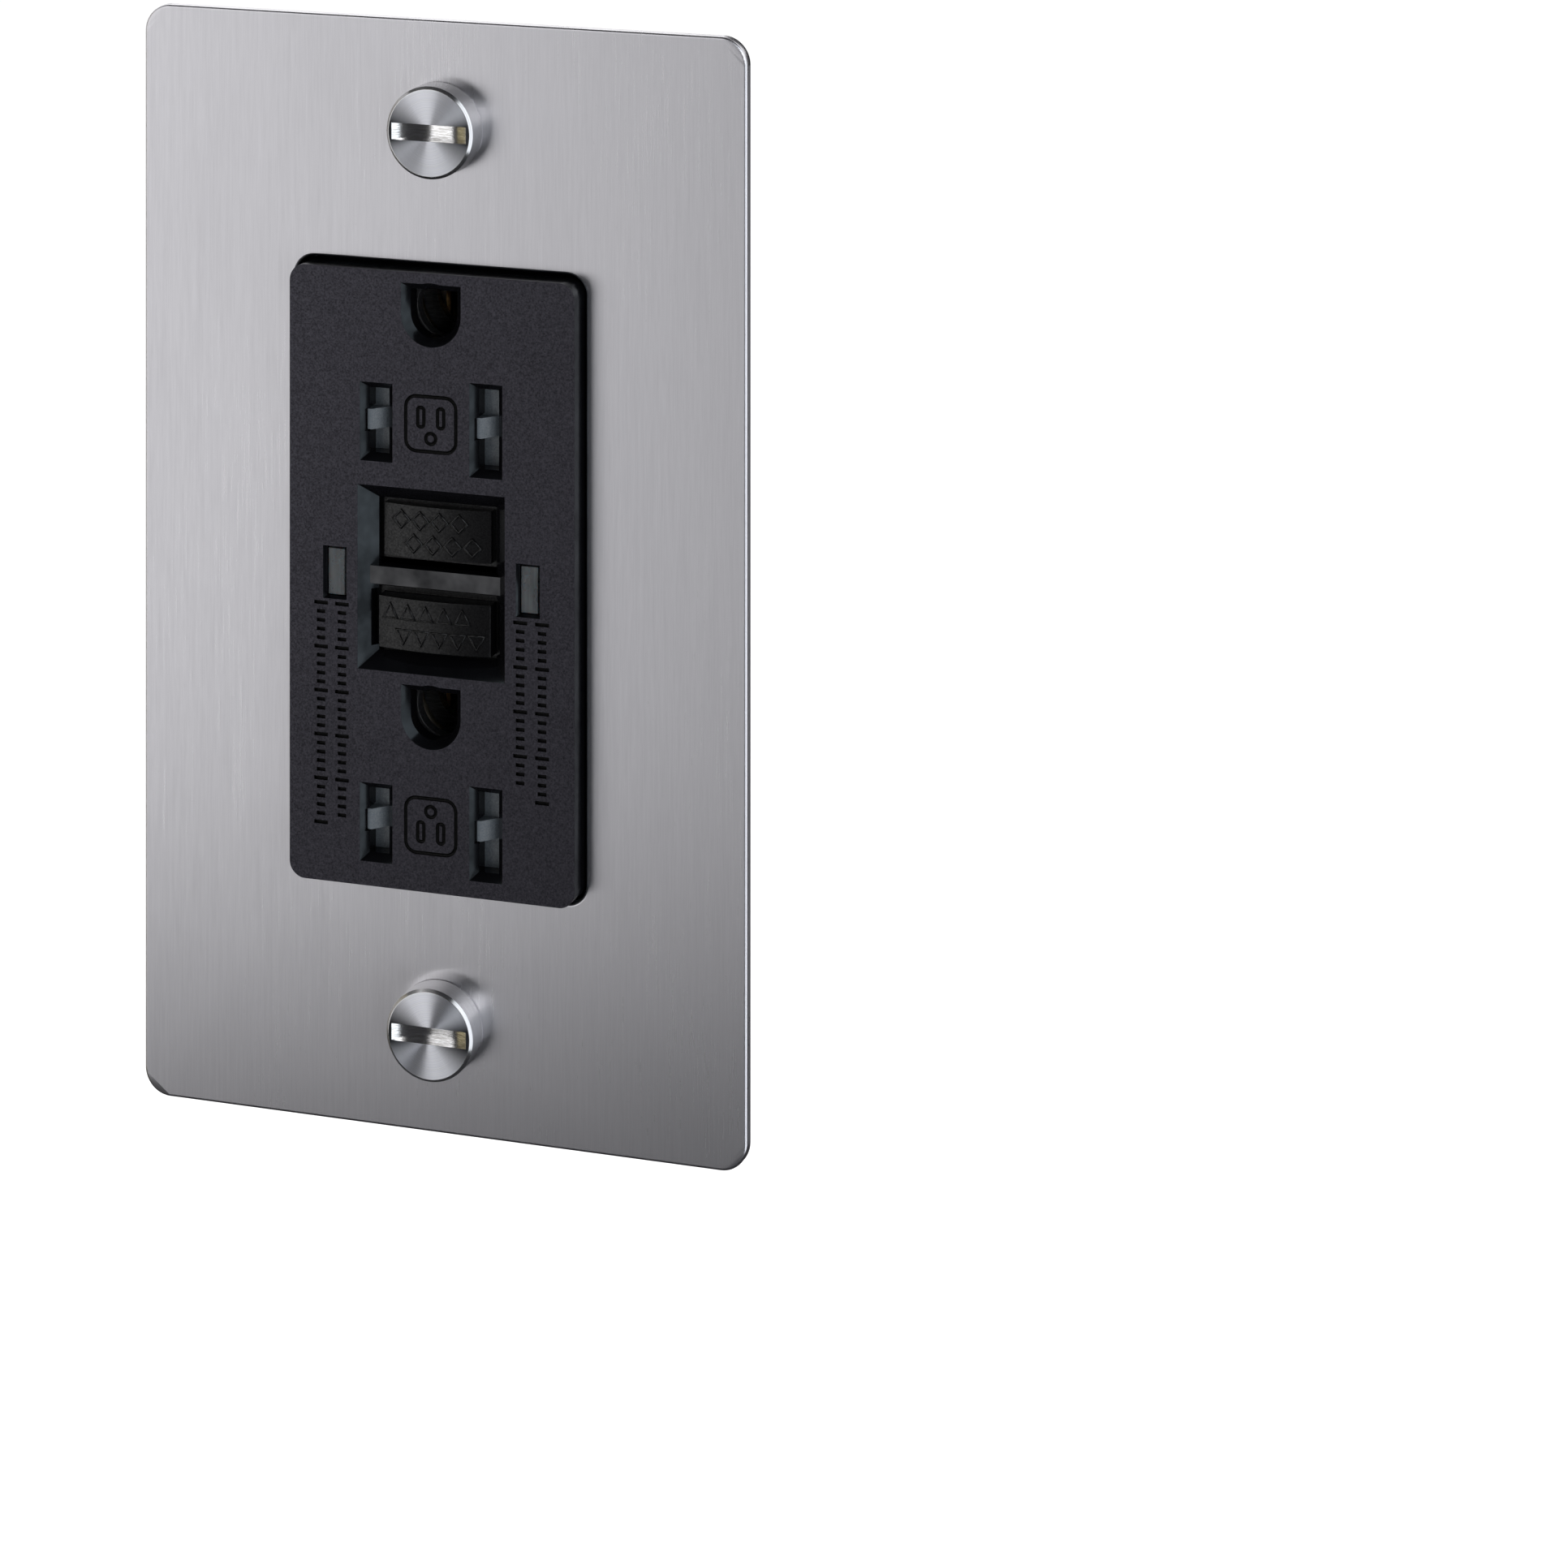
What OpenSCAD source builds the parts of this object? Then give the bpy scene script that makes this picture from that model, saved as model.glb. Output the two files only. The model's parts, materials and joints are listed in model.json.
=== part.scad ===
// Flat metal wall plate with a ground-fault duplex receptacle behind it.
// Millimetres. X runs across the plate, Y runs into the wall, Z runs up.
// The origin is the plate's centre on the wall surface.

/* [Wall plate] */
// Width of the plate
plate_w = 70; // [66:1:90]
// Height of the plate
plate_h = 120; // [116:1:140]
// Thickness of the sheet
plate_t = 1.5; // [1:0.1:2.5]
// Corner radius of the plate
plate_r = 3; // [1:0.5:6]
// Distance from the wall surface to the plate's back
plate_gap = 3.5; // [3.3:0.1:5]
// Width of the device opening
opening_w = 33.7; // [33.4:0.1:34.5]
// Height of the device opening
opening_h = 67.3; // [66.9:0.1:68]

/* [Coin screws] */
// Diameter of the screw head
coin_head_d = 10; // [8:0.5:12]
// Height of the screw head
coin_head_h = 3.1; // [2.5:0.1:5]
// Distance between the two plate screws
plate_screw_pitch = 96.84; // [96.5:0.01:97.2]

/* [Receptacle] */
// How far the device face stands in front of the plate
face_proud = 2.5; // [2:0.1:3]
// Width of the device face
face_w = 33; // [32.8:0.1:33.1]
// Height of the device face
face_h = 66.5; // [66:0.1:66.7]
// Distance between the two blade slots of one outlet
blade_pitch = 12.7; // [12.6:0.05:12.8]
// Height of the upper outlet's blade slots above the centre
upper_blades_z = 16.8; // [16.6:0.1:17]
// Height of the lower outlet's blade slots above the centre
lower_blades_z = -26.4; // [-26.6:0.1:-26.2]
// Distance from the blade slots up to the ground pin
ground_rise = 11.95; // [11.8:0.05:12.1]
// Distance between the two box screws
box_screw_pitch = 83.34; // [83:0.01:83.6]

/* [Hidden] */
$fn = 64;

// Levels along Y, from the front of the device to its back
plate_back = -plate_gap;
plate_front = plate_back - plate_t;
face_front = plate_front - face_proud;
face_wall = 2.65;
face_inside = face_front + face_wall;
flange_front = -2.3;
strap_t = 1.2;
strap_front = 3.0;
strap_back = strap_front + strap_t;
bar_front = 4.7;
bar_t = 0.8;
carrier_front = bar_front + bar_t;
carrier_floor = 10.9;
carrier_back = 12.1;
arm_front = 12.5;
arm_t = 0.8;
board_front = 22.1;
board_t = 1.6;
housing_inside = 24.7;
housing_back = 26.5;

// Plate and screws
plate_screw_z = plate_screw_pitch / 2;
box_screw_z = box_screw_pitch / 2;
coin_shaft_r = 1.70;
tapped_r = 1.75;
box_screw_r = 1.753;
coin_shaft_end = 6;
coin_chamfer = 0.3;
coin_slot = [8.6, 1.8, 1.3]; // length, height, depth, cut by a round cutter

// Face openings: a bevel from the outer to the inner size, then a straight wall
bevel_depth = 0.95;
bevel_inset = 0.75;
slot_w = 2.3;
hot_slot_h = 7.0;
neutral_slot_h = 8.6;
ground_r = 2.7;
blade_x = blade_pitch / 2;
outlets = [upper_blades_z, lower_blades_z];

// Button recess
recess_half = [8.53, 9.95];
recess_inset = 1.7;
recess_depth = 2.0;
bar_half_z = 0.97;
bar_drop = 1.15;
test_z = 4.9;
reset_z = -4.9;
button_h = 5.6;
test_w = 12.4;
reset_w = 13.0;

// Light pipes
lamp_x = 11.18;
lamp_z = 0.15;
lamp_size = [2.0, 5.05];
lamp_depth = 0.5;

// Shutters
shutter_front = face_inside + 0.1;
shutter_t = 1.7;
shutter_travel = 2.9;
nub_top = face_front + 1.0;
nub_reach = 8.05 - blade_x;
nub_half_z = 1.1;
notch_reach = 7.86 - blade_x;

// Latch
latch_gap = 0.2;
pin_r = 1.1;
solenoid_y = 17.1;
latch_plate_y = 15.8;
arm_x = 8.6;
arm_w = 3.2;
arm_pivot_z = -18;
arm_tip_z = -4;
rivet_z = -9.6;

// Wiring terminals
terminal_y = 15;
terminal_x = 14.0;
terminal_t = 1.0;
clamp_t = 1.2;
load_z = 19.5;
line_z = -12.5;
terminal_screw_r = 2.05;

// Board parts
surge_x = 9.2;
surge_z = 24.6;
test_pin_x = 7.4;

// Transformers
boat_z = -23.5;
boat_r = 8.4;

// ---------- helpers ----------

// Extrudes a drawing in X and Z between two Y levels
module layer(y0, y1) {
    translate([0, y1, 0]) rotate([90, 0, 0]) linear_extrude(y1 - y0) children();
}

// Box from its lowest to its highest corner
module block(lo, hi) {
    translate(lo) cube(hi - lo);
}

// Box on one side of the middle, between two distances from it
module side_block(side, near, far, y0, y1, z0, z1) {
    block([side > 0 ? near : -far, y0, z0], [side > 0 ? far : -near, y1, z1]);
}

module rod_x(r, x0, x1, y = 0, z = 0) {
    translate([x0, y, z]) rotate([0, 90, 0]) cylinder(r = r, h = x1 - x0);
}

module rod_y(r, y0, y1, x = 0, z = 0) {
    translate([x, y0, z]) rotate([-90, 0, 0]) cylinder(r = r, h = y1 - y0);
}

module rod_z(r, z0, z1, x = 0, y = 0) {
    translate([x, y, z0]) cylinder(r = r, h = z1 - z0);
}

// Cone along Y from radius r0 at y0 to r1 at y1
module cone_y(r0, r1, y0, y1, x = 0, z = 0) {
    translate([x, y0, z]) rotate([-90, 0, 0]) cylinder(r1 = r0, r2 = r1, h = y1 - y0);
}

// Rectangle with round corners, centred
module rounded(w, h, r) {
    square([w - 2 * r, h], center = true);
    square([w, h - 2 * r], center = true);
    for (x = [-1, 1], z = [-1, 1])
        translate([x * (w / 2 - r), z * (h / 2 - r)]) circle(r);
}

// Rectangle given by its lowest and highest corner
module span(lo, hi) {
    translate(lo) square(hi - lo);
}

// Tapered block along Y; each end is [x0, x1, z0, z1]
module taper(a, ya, b, yb) {
    reach = 200;
    intersection() {
        linear_extrude(reach, center = true)
            polygon([[a[0], ya], [a[1], ya], [b[1], yb], [b[0], yb]]);
        rotate([90, 0, 90]) linear_extrude(reach, center = true)
            polygon([[ya, a[2]], [ya, a[3]], [yb, b[3]], [yb, b[2]]]);
    }
}

// Tapered block centred on x, z; each size is [width, height]
module centred_taper(x, z, a, ya, b, yb) {
    taper([x - a[0] / 2, x + a[0] / 2, z - a[1] / 2, z + a[1] / 2], ya,
          [x - b[0] / 2, x + b[0] / 2, z - b[1] / 2, z + b[1] / 2], yb);
}

// Coil of round wire along Z from 0 to length
module coil(mean_r, wire_r, length, turns) {
    steps = 12;
    sides = 6;
    rings = steps * turns;
    points = [for (i = [0:rings], j = [0:sides - 1])
        let (a = 360 * i / steps, b = 360 * j / sides, r = mean_r + wire_r * cos(b))
        [r * cos(a), r * sin(a), wire_r + (length - 2 * wire_r) * i / rings + wire_r * sin(b)]];
    walls = [for (i = [0:rings - 1], j = [0:sides - 1])
        let (k = (j + 1) % sides)
        [i * sides + j, (i + 1) * sides + j, (i + 1) * sides + k, i * sides + k]];
    ends = [[for (j = [0:sides - 1]) j], [for (j = [sides - 1:-1:0]) rings * sides + j]];
    polyhedron(points, concat(walls, ends), convexity = 8);
}

// ---------- wall plate ----------

module face_plate() {
    color("lightgray") layer(plate_front, plate_back) difference() {
        rounded(plate_w, plate_h, plate_r);
        rounded(opening_w, opening_h, 2.2);
        for (s = [-1, 1]) translate([0, s * plate_screw_z]) circle(2.0);
    }
}

// Insulating liner: a thin web, a rim that stands on the wall and a boss at each plate screw
module plate_liner() {
    web_t = 1.0;
    rim_w = 4;
    inset = 2.5;
    w = plate_w - 2 * inset;
    h = plate_h - 2 * inset;
    color("dimgray") union() {
        layer(plate_back, plate_back + web_t) difference() {
            rounded(w, h, plate_r);
            rounded(opening_w + 1.2, opening_h + 1.2, 2.5);
            for (s = [-1, 1]) {
                translate([0, s * plate_screw_z]) circle(2.1);
                translate([0, s * box_screw_z]) circle(4.3);
            }
        }
        layer(plate_back + web_t, 0) difference() {
            rounded(w, h, plate_r);
            rounded(w - 2 * rim_w, h - 2 * rim_w, 1);
        }
        for (s = [-1, 1])
            layer(plate_back + web_t, -strap_t) translate([0, s * plate_screw_z]) difference() {
                circle(3.0);
                circle(2.1);
            }
    }
}

module coin_screw(z) {
    head_front = plate_front - coin_head_h;
    head_r = coin_head_d / 2;
    cutter_r = (pow(coin_slot[0] / 2, 2) + pow(coin_slot[2], 2)) / (2 * coin_slot[2]);
    color("gainsboro") difference() {
        union() {
            cone_y(head_r - coin_chamfer, head_r, head_front, head_front + coin_chamfer, 0, z);
            rod_y(head_r, head_front + coin_chamfer, plate_front, 0, z);
            rod_y(coin_shaft_r, plate_front, coin_shaft_end - 0.6, 0, z);
            cone_y(coin_shaft_r, coin_shaft_r - 0.6, coin_shaft_end - 0.6, coin_shaft_end, 0, z);
        }
        translate([0, head_front + coin_slot[2] - cutter_r, z])
            cylinder(r = cutter_r, h = coin_slot[1], center = true);
    }
}

// ---------- front cover ----------

// Bevelled opening for a flat blade, with the notch that clears the shutter's nub
module blade_opening(x, z, h) {
    outer = [slot_w + 2 * bevel_inset, h + 2 * bevel_inset];
    bevel_back = face_front + bevel_depth;
    centred_taper(x, z, outer, face_front, [slot_w, h], bevel_back);
    block([x - slot_w / 2, bevel_back - 0.01, z - h / 2], [x + slot_w / 2, face_inside + 1, z + h / 2]);
    block([x - notch_reach, face_front + 0.45, z - 1.2], [x, face_inside + 1, z + 1.2]);
    block([x - nub_reach - shutter_travel - 0.3, nub_top - 0.12, z - 1.3],
          [x, face_inside + 1, z + 1.3]);
}

// Bevelled opening for the ground pin: flat on top, round below
module ground_opening(z) {
    bevel_back = face_front + bevel_depth;
    outer_r = ground_r + bevel_inset;
    cone_y(outer_r, ground_r, face_front, bevel_back, 0, z);
    taper([-outer_r, outer_r, z, z + outer_r - 0.15], face_front,
          [-ground_r, ground_r, z, z + ground_r - 0.15], bevel_back);
    rod_y(ground_r, bevel_back - 0.01, face_inside + 1, 0, z);
    block([-ground_r, bevel_back - 0.01, z], [ground_r, face_inside + 1, z + ground_r - 0.15]);
}

// Sloped recess with a dividing bar and one well for each button
module button_recess() {
    floor_y = face_front + recess_depth;
    inner = [recess_half[0] - recess_inset, recess_half[1] - recess_inset];
    difference() {
        union() {
            centred_taper(0, 0, 2 * recess_half, face_front, 2 * inner, floor_y);
            block([-inner[0], floor_y - 0.01, -inner[1]], [inner[0], face_inside + 1, inner[1]]);
            block([-7.45, face_front + 0.9, -7.7], [7.45, face_inside + 1, -1.6]);
        }
        block([-10, face_front + bar_drop, -bar_half_z], [10, face_inside, bar_half_z]);
    }
}

module lamp_opening(x) {
    outer = [lamp_size[0] + 0.75, lamp_size[1] + 0.65];
    clear = [lamp_size[0] + 0.16, lamp_size[1] + 0.16];
    centred_taper(x, lamp_z, outer, face_front, clear, face_front + lamp_depth);
    block([x - clear[0] / 2, face_front + lamp_depth - 0.01, lamp_z - clear[1] / 2],
          [x + clear[0] / 2, face_inside + 1, lamp_z + clear[1] / 2]);
}

assembly_xz = [13.7, 31.2];

module at_corners() {
    for (x = [-1, 1], z = [-1, 1])
        scale([x, 1, z]) translate([assembly_xz[0], 0, assembly_xz[1]]) children();
}

module front_cover() {
    wall = 1.8;
    flange_w = 41;
    flange_h = 69.2;
    color([0.13, 0.13, 0.14]) difference() {
        union() {
            layer(face_front, flange_front) rounded(face_w, face_h, 1.8);
            layer(flange_front, strap_front) rounded(flange_w, flange_h, 1.5);
        }
        difference() {
            union() {
                layer(face_inside, flange_front + wall) rounded(face_w - 2 * wall, face_h - 2 * wall, 0.8);
                layer(flange_front + wall, strap_front + 1)
                    rounded(flange_w - 2 * wall, flange_h - 2 * wall, 0.8);
            }
            at_corners() rod_y(2.0, face_inside - 0.5, strap_front);
        }
        at_corners() rod_y(1.25, -3.5, strap_front + 1);
        for (z = outlets) {
            blade_opening(-blade_x, z, hot_slot_h);
            blade_opening(blade_x, z, neutral_slot_h);
            ground_opening(z + ground_rise);
        }
        button_recess();
        for (x = [-1, 1]) lamp_opening(x * lamp_x);
    }
}

// Button with a crowned front and a retaining flange behind the face
module push_button(w, z, front, flange_w, flange_h, stem_end) {
    crown_r = 34;
    color([0.1, 0.1, 0.11]) union() {
        intersection() {
            block([-w / 2, front, z - button_h / 2], [w / 2, shutter_front + 0.4, z + button_h / 2]);
            rod_z(crown_r, z - button_h, z + button_h, 0, front + crown_r);
        }
        block([-flange_w / 2, shutter_front, z - flange_h / 2], [flange_w / 2, stem_end, z + flange_h / 2]);
    }
}

module test_button() {
    stem_x = 6.2;
    push_button(test_w, test_z, face_front + 1.4, 14.6, 6.6, shutter_front + 1.35);
    color([0.1, 0.1, 0.11]) rod_y(1.1, shutter_front + 1.3, bar_front - 0.05, stem_x, test_z);
}

module reset_button() {
    difference() {
        push_button(reset_w, reset_z, face_front + 0.4, 15.6, 6.8, shutter_front + 1.6);
        rod_y(pin_r, face_front + 2.6, 0, 0, reset_z);
    }
}

module reset_pin() {
    tip = 19;
    color("silver") union() {
        rod_y(pin_r, face_front + 2.6, 15.2, 0, reset_z);
        rod_y(0.75, 15.2, 17.0, 0, reset_z);
        rod_y(pin_r, 17.0, tip - 1.2, 0, reset_z);
        cone_y(pin_r, 0.4, tip - 1.2, tip, 0, reset_z);
    }
}

module reset_spring() {
    color("silver") translate([0, strap_front - 0.05, reset_z]) rotate([90, 0, 0])
        coil(2.6, 0.32, 6.0, 5);
}

module light_pipe(x) {
    color([0.8, 0.84, 0.84]) union() {
        block([x - lamp_size[0] / 2, face_front + lamp_depth, lamp_z - lamp_size[1] / 2],
              [x + lamp_size[0] / 2, face_inside, lamp_z + lamp_size[1] / 2]);
        block([x - 1.3, face_inside, lamp_z - 2.9], [x + 1.3, face_inside + 1.2, lamp_z + 2.9]);
        block([x - 0.9, face_inside + 1.2, lamp_z - 1.6], [x + 0.9, 20.4, lamp_z + 1.6]);
    }
}

// ---------- shutters ----------

module shutter(z) {
    back = shutter_front + shutter_t;
    color([0.55, 0.62, 0.68]) union() {
        layer(shutter_front, back) difference() {
            span([-8.3, z - 5.0], [11.6, z + 5.3]);
            span([-4.75, z - 3.75], [-1.95, z + 3.75]);
            span([7.98, z - 4.6], [10.8, z + 4.6]);
        }
        for (x = [-blade_x, blade_x])
            translate([x, 0, z - nub_half_z]) linear_extrude(2 * nub_half_z)
                polygon([[-nub_reach, shutter_front + 0.1], [-nub_reach, nub_top + 0.3],
                         [-nub_reach + 0.3, nub_top], [-nub_reach + 0.75, nub_top],
                         [0.55, shutter_front], [0.55, shutter_front + 0.1]]);
    }
}

module shutter_springs() {
    color("silver") for (z = outlets)
        translate([-13.35, shutter_front + 0.85, z]) rotate([0, 90, 0]) coil(0.6, 0.12, 4.95, 6);
}

// Plate that the shutters slide on, with a spring seat beside each shutter
module shutter_carrier() {
    front = shutter_front + shutter_t + 0.15;
    back = front + 1.5;
    color([0.2, 0.2, 0.22]) union() {
        layer(front, back) difference() {
            rounded(face_w - 4.2, face_h - 4.2, 0.8);
            for (z = outlets) {
                translate([-blade_x, z]) square([slot_w + 0.3, hot_slot_h + 0.4], center = true);
                translate([blade_x, z]) square([slot_w + 0.3, neutral_slot_h + 0.4], center = true);
                translate([0, z + ground_rise]) circle(3.4);
            }
            square([18.6, 19.2], center = true);
            for (x = [-1, 1]) translate([x * lamp_x, lamp_z]) square([3.2, 6.4], center = true);
            for (x = [-1, 1], z = [-1, 1])
                translate([x * assembly_xz[0], z * assembly_xz[1]]) square([6, 6], center = true);
        }
        for (z = outlets)
            block([-14.2, shutter_front, z - 1.5], [-13.4, front + 0.1, z + 1.5]);
    }
}

// ---------- mounting strap ----------

slot_half = 1.86;

module strap_ear() {
    difference() {
        union() {
            span([-11, 34.9], [11, 53]);
            translate([0, 48.9]) rounded(38, 8.2, 1.5);
        }
        translate([0, plate_screw_z]) circle(tapped_r);
        for (x = [-1, 1]) translate([x * 1.3, box_screw_z]) circle(slot_half);
        translate([0, box_screw_z]) square([2.6, 2 * slot_half], center = true);
        for (x = [-1, 1]) translate([x * 11, 44.8]) circle(0.8);
    }
}

// Scored line across each plaster ear, where it snaps off
module ear_scores() {
    for (x = [-1, 1], z = [-1, 1])
        translate([x * 11.8, 0, z * 48.9]) rotate([0, 0, 45]) cube([0.45, 0.45, 12], center = true);
}

ground_tab_x = -17.7;
ground_screw_z = -30;
ground_screw_y = 11.5;

module mounting_strap() {
    color("silver") difference() {
        union() {
            for (s = [0, 1]) mirror([0, 0, s]) {
                layer(-strap_t, 0) strap_ear();
                block([-9, -strap_t, 34.9], [9, strap_back, 36.1]);
            }
            layer(strap_front, strap_back) difference() {
                union() {
                    square([5.6, 71], center = true);
                    for (s = [-1, 1]) translate([0, s * 34.2]) square([18, 3.4], center = true);
                    span([ground_tab_x - strap_t, -35.9], [9, -32.9]);
                    for (z = outlets) translate([0, z + ground_rise]) circle(5.2);
                    translate([0, reset_z]) circle(4.2);
                }
                for (z = outlets) translate([0, z + ground_rise]) circle(3.5);
                translate([0, reset_z]) circle(1.8);
            }
            block([ground_tab_x - strap_t, strap_front, -35.9], [ground_tab_x, 16, -32.9]);
            block([ground_tab_x - strap_t, 8, -33.4], [ground_tab_x, 16, -26.5]);
        }
        ear_scores();
        rod_x(2.1, ground_tab_x - strap_t - 1, ground_tab_x + 1, ground_screw_y, ground_screw_z);
    }
}

// Jaws that grip the ground pin, riveted behind the strap
module ground_contact(z) {
    jaw_x = 2.4;
    jaw_t = 0.6;
    color("goldenrod") difference() {
        union() {
            layer(strap_back, strap_back + jaw_t) translate([0, z]) square([6, 6.6], center = true);
            for (s = [-1, 1])
                block([s > 0 ? jaw_x : -jaw_x - jaw_t, strap_back, z - 2.2],
                      [s > 0 ? jaw_x + jaw_t : -jaw_x, 12, z + 2.2]);
        }
        block([-jaw_x, strap_back - 1, z - 3], [jaw_x, strap_back + 1, z + 3]);
    }
}

// Screw with a slotted round head; it points along +X or -X from x
module side_screw(side, x, y, z, head_r, head_h, shaft_r, shaft_len, shade) {
    color(shade) difference() {
        union() {
            if (side > 0) {
                rod_x(head_r, x, x + head_h, y, z);
                rod_x(shaft_r, x - shaft_len, x, y, z);
            } else {
                rod_x(head_r, x - head_h, x, y, z);
                rod_x(shaft_r, x, x + shaft_len, y, z);
            }
        }
        translate([x + side * head_h, y, z]) {
            cube([2.0, 1.1, 2 * head_r + 1], center = true);
            cube([2.0, 4.4, 1.1], center = true);
        }
    }
}

module ground_screw() {
    side_screw(-1, ground_tab_x - strap_t, ground_screw_y, ground_screw_z, 3.6, 2.2, 2.05, 3.4, "seagreen");
}

// Screw with a plain neck in the strap's slot, then the thread
module box_screw(z) {
    head_h = 1.9;
    tip = 24;
    color("silver") difference() {
        union() {
            cone_y(2.6, 3.5, -strap_t - head_h, -strap_t - head_h + 0.9, 0, z);
            rod_y(3.5, -strap_t - head_h + 0.9, -strap_t, 0, z);
            rod_y(1.5, -strap_t, 0, 0, z);
            rod_y(box_screw_r, 0, tip - 1, 0, z);
            cone_y(box_screw_r, 0.8, tip - 1, tip, 0, z);
        }
        translate([0, -strap_t - head_h, z]) {
            cube([9, 2.0, 1.1], center = true);
            cube([1.1, 2.0, 4.4], center = true);
        }
    }
}

// ---------- contact carrier and rear housing ----------

module contact_carrier() {
    half = [17.4, 31.9];
    front = carrier_front;
    color([0.85, 0.82, 0.74]) difference() {
        block([-half[0], front, -half[1]], [half[0], carrier_back, half[1]]);
        at_corners() block([-2.9, front - 1, -2.9], [7, carrier_back + 1, 7]);
        // ground tab
        block([-18, front - 1, -36], [-15.2, carrier_back + 1, -26]);
        // blade contact pockets
        for (x = [-1, 1], z = outlets)
            block([x * blade_x - 1.9, front - 1, z - 4.6], [x * blade_x + 1.9, carrier_floor, z + 4.6]);
        // ground contact pockets
        for (z = outlets)
            block([-3.3, front - 1, z + ground_rise - 4.8], [3.3, carrier_back + 1, z + ground_rise + 4.8]);
        // latch and reset pin window
        block([-7.0, front - 1, -9.3], [7.0, carrier_back + 1, -0.6]);
        // test leaf groove and test pin hole
        block([-9.2, front - 1, test_z - 1.6], [9.8, front + 0.02, test_z + 1.6]);
        block([-6.6, front - 1, test_z - 1.6], [9.8, front + 2.3, test_z + 1.6]);
        rod_y(0.8, front, carrier_back + 1, test_pin_x, test_z);
        // light pipes
        for (x = [-1, 1])
            side_block(x, lamp_x - 1.1, lamp_x + 1.1, front - 1, carrier_back + 1, lamp_z - 1.8, lamp_z + 1.8);
        // fixed and moving contacts
        for (x = [-1, 1]) {
            side_block(x, 6.4, 13.0, 8.7, carrier_back + 1, -12.6, -6.9);
            side_block(x, 11.8, 13.0, front - 1, carrier_back + 1, -12.2, -7.2);
            side_block(x, 6.4, 11.0, 10.2, carrier_back + 1, -15, -2.9);
        }
        // terminal blades and their screws
        for (x = [-1, 1]) {
            side_block(x, 13.8, 15.2, front - 1, carrier_back + 1, load_z - 4.4, load_z + 4.4);
            for (z = [load_z, line_z])
                side_block(x, 12.9, 18, 8.4, carrier_back + 1, z - 6.4, z + 6.4);
        }
    }
}

terminal_sites = [[-1, load_z], [1, load_z], [-1, line_z], [1, line_z]];

module rear_housing() {
    w = 39;
    h = 68;
    wall = 1.8;
    color([0.16, 0.16, 0.17]) difference() {
        union() {
            difference() {
                layer(strap_front + 0.05, housing_back) rounded(w, h, 1.5);
                layer(strap_front - 1, housing_inside) rounded(w - 2 * wall, h - 2 * wall, 0.8);
            }
            at_corners() block([-2.6, strap_back + 0.1, -2.6], [2.6, housing_inside + 0.1, 2.6]);
            // terminal chambers
            for (t = terminal_sites)
                block([t[0] > 0 ? 13.1 : -w / 2 + 1, 8.6, t[1] - 6.2],
                      [t[0] > 0 ? w / 2 - 1 : -13.1, housing_inside + 0.1, t[1] + 6.2]);
        }
        // strap ends and the ground tab
        for (s = [-1, 1])
            block([-9.2, strap_front - 1, s > 0 ? 31 : -35], [9.2, strap_back + 0.05, s > 0 ? 35 : -31]);
        block([-21, strap_front - 1, -36], [-8, strap_back + 0.05, -32.1]);
        block([-21, strap_front - 1, -36], [-15.5, 18.2, -25.6]);
        // assembly screws, with their counterbores
        at_corners() {
            rod_y(1.35, 0, housing_back + 1);
            rod_y(2.5, housing_back - 1.6, housing_back + 1);
        }
        for (t = terminal_sites) {
            // chamber for the terminal, clamp and screw head
            block([t[0] > 0 ? 13.9 : -25, 9.8, t[1] - 4.7], [t[0] > 0 ? 25 : -13.9, 20.3, t[1] + 4.7]);
            // slot through which the terminal blade enters
            block([t[0] > 0 ? 13.9 : -15.1, 3.5, t[1] - 4.3], [t[0] > 0 ? 15.1 : -13.9, 10, t[1] + 4.3]);
            // the tab that carries a line terminal's lead
            side_block(t[0], 12.9, 14.0, 19.1, 20.3, line_z - 4.2, line_z - 0.8);
            // the screw's end
            rod_x(2.5, t[0] > 0 ? 12 : -14, t[0] > 0 ? 14 : -12, terminal_y, t[1]);
            // wire entries from behind
            for (s = [-1, 1])
                layer(20, housing_back + 1) translate([t[0] * 15.9, t[1] + s * 3.0]) {
                    square([0.8, 2.8], center = true);
                    for (k = [-1, 1]) translate([k * 0.4, 0]) circle(1.4);
                }
        }
    }
}

module assembly_screws() {
    color("silver") at_corners() difference() {
        union() {
            rod_y(2.3, housing_back - 1.55, housing_back - 0.2);
            rod_y(1.2, -2.5, housing_back - 1.55);
            cone_y(0.3, 1.2, -3.4, -2.5);
        }
        translate([0, housing_back - 0.2, 0]) {
            cube([3.4, 1.4, 0.7], center = true);
            cube([0.7, 1.4, 3.4], center = true);
        }
    }
}

// ---------- conductors ----------

// Two spring leaves on each side of a blade, under a slotted strip
module blade_clip(x, z) {
    leaf = 0.6;
    for (s = [-1, 1])
        block([x + s * 1.05 - leaf / 2, carrier_front, z - 3.6], [x + s * 1.05 + leaf / 2, 10.7, z + 3.6]);
}

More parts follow.
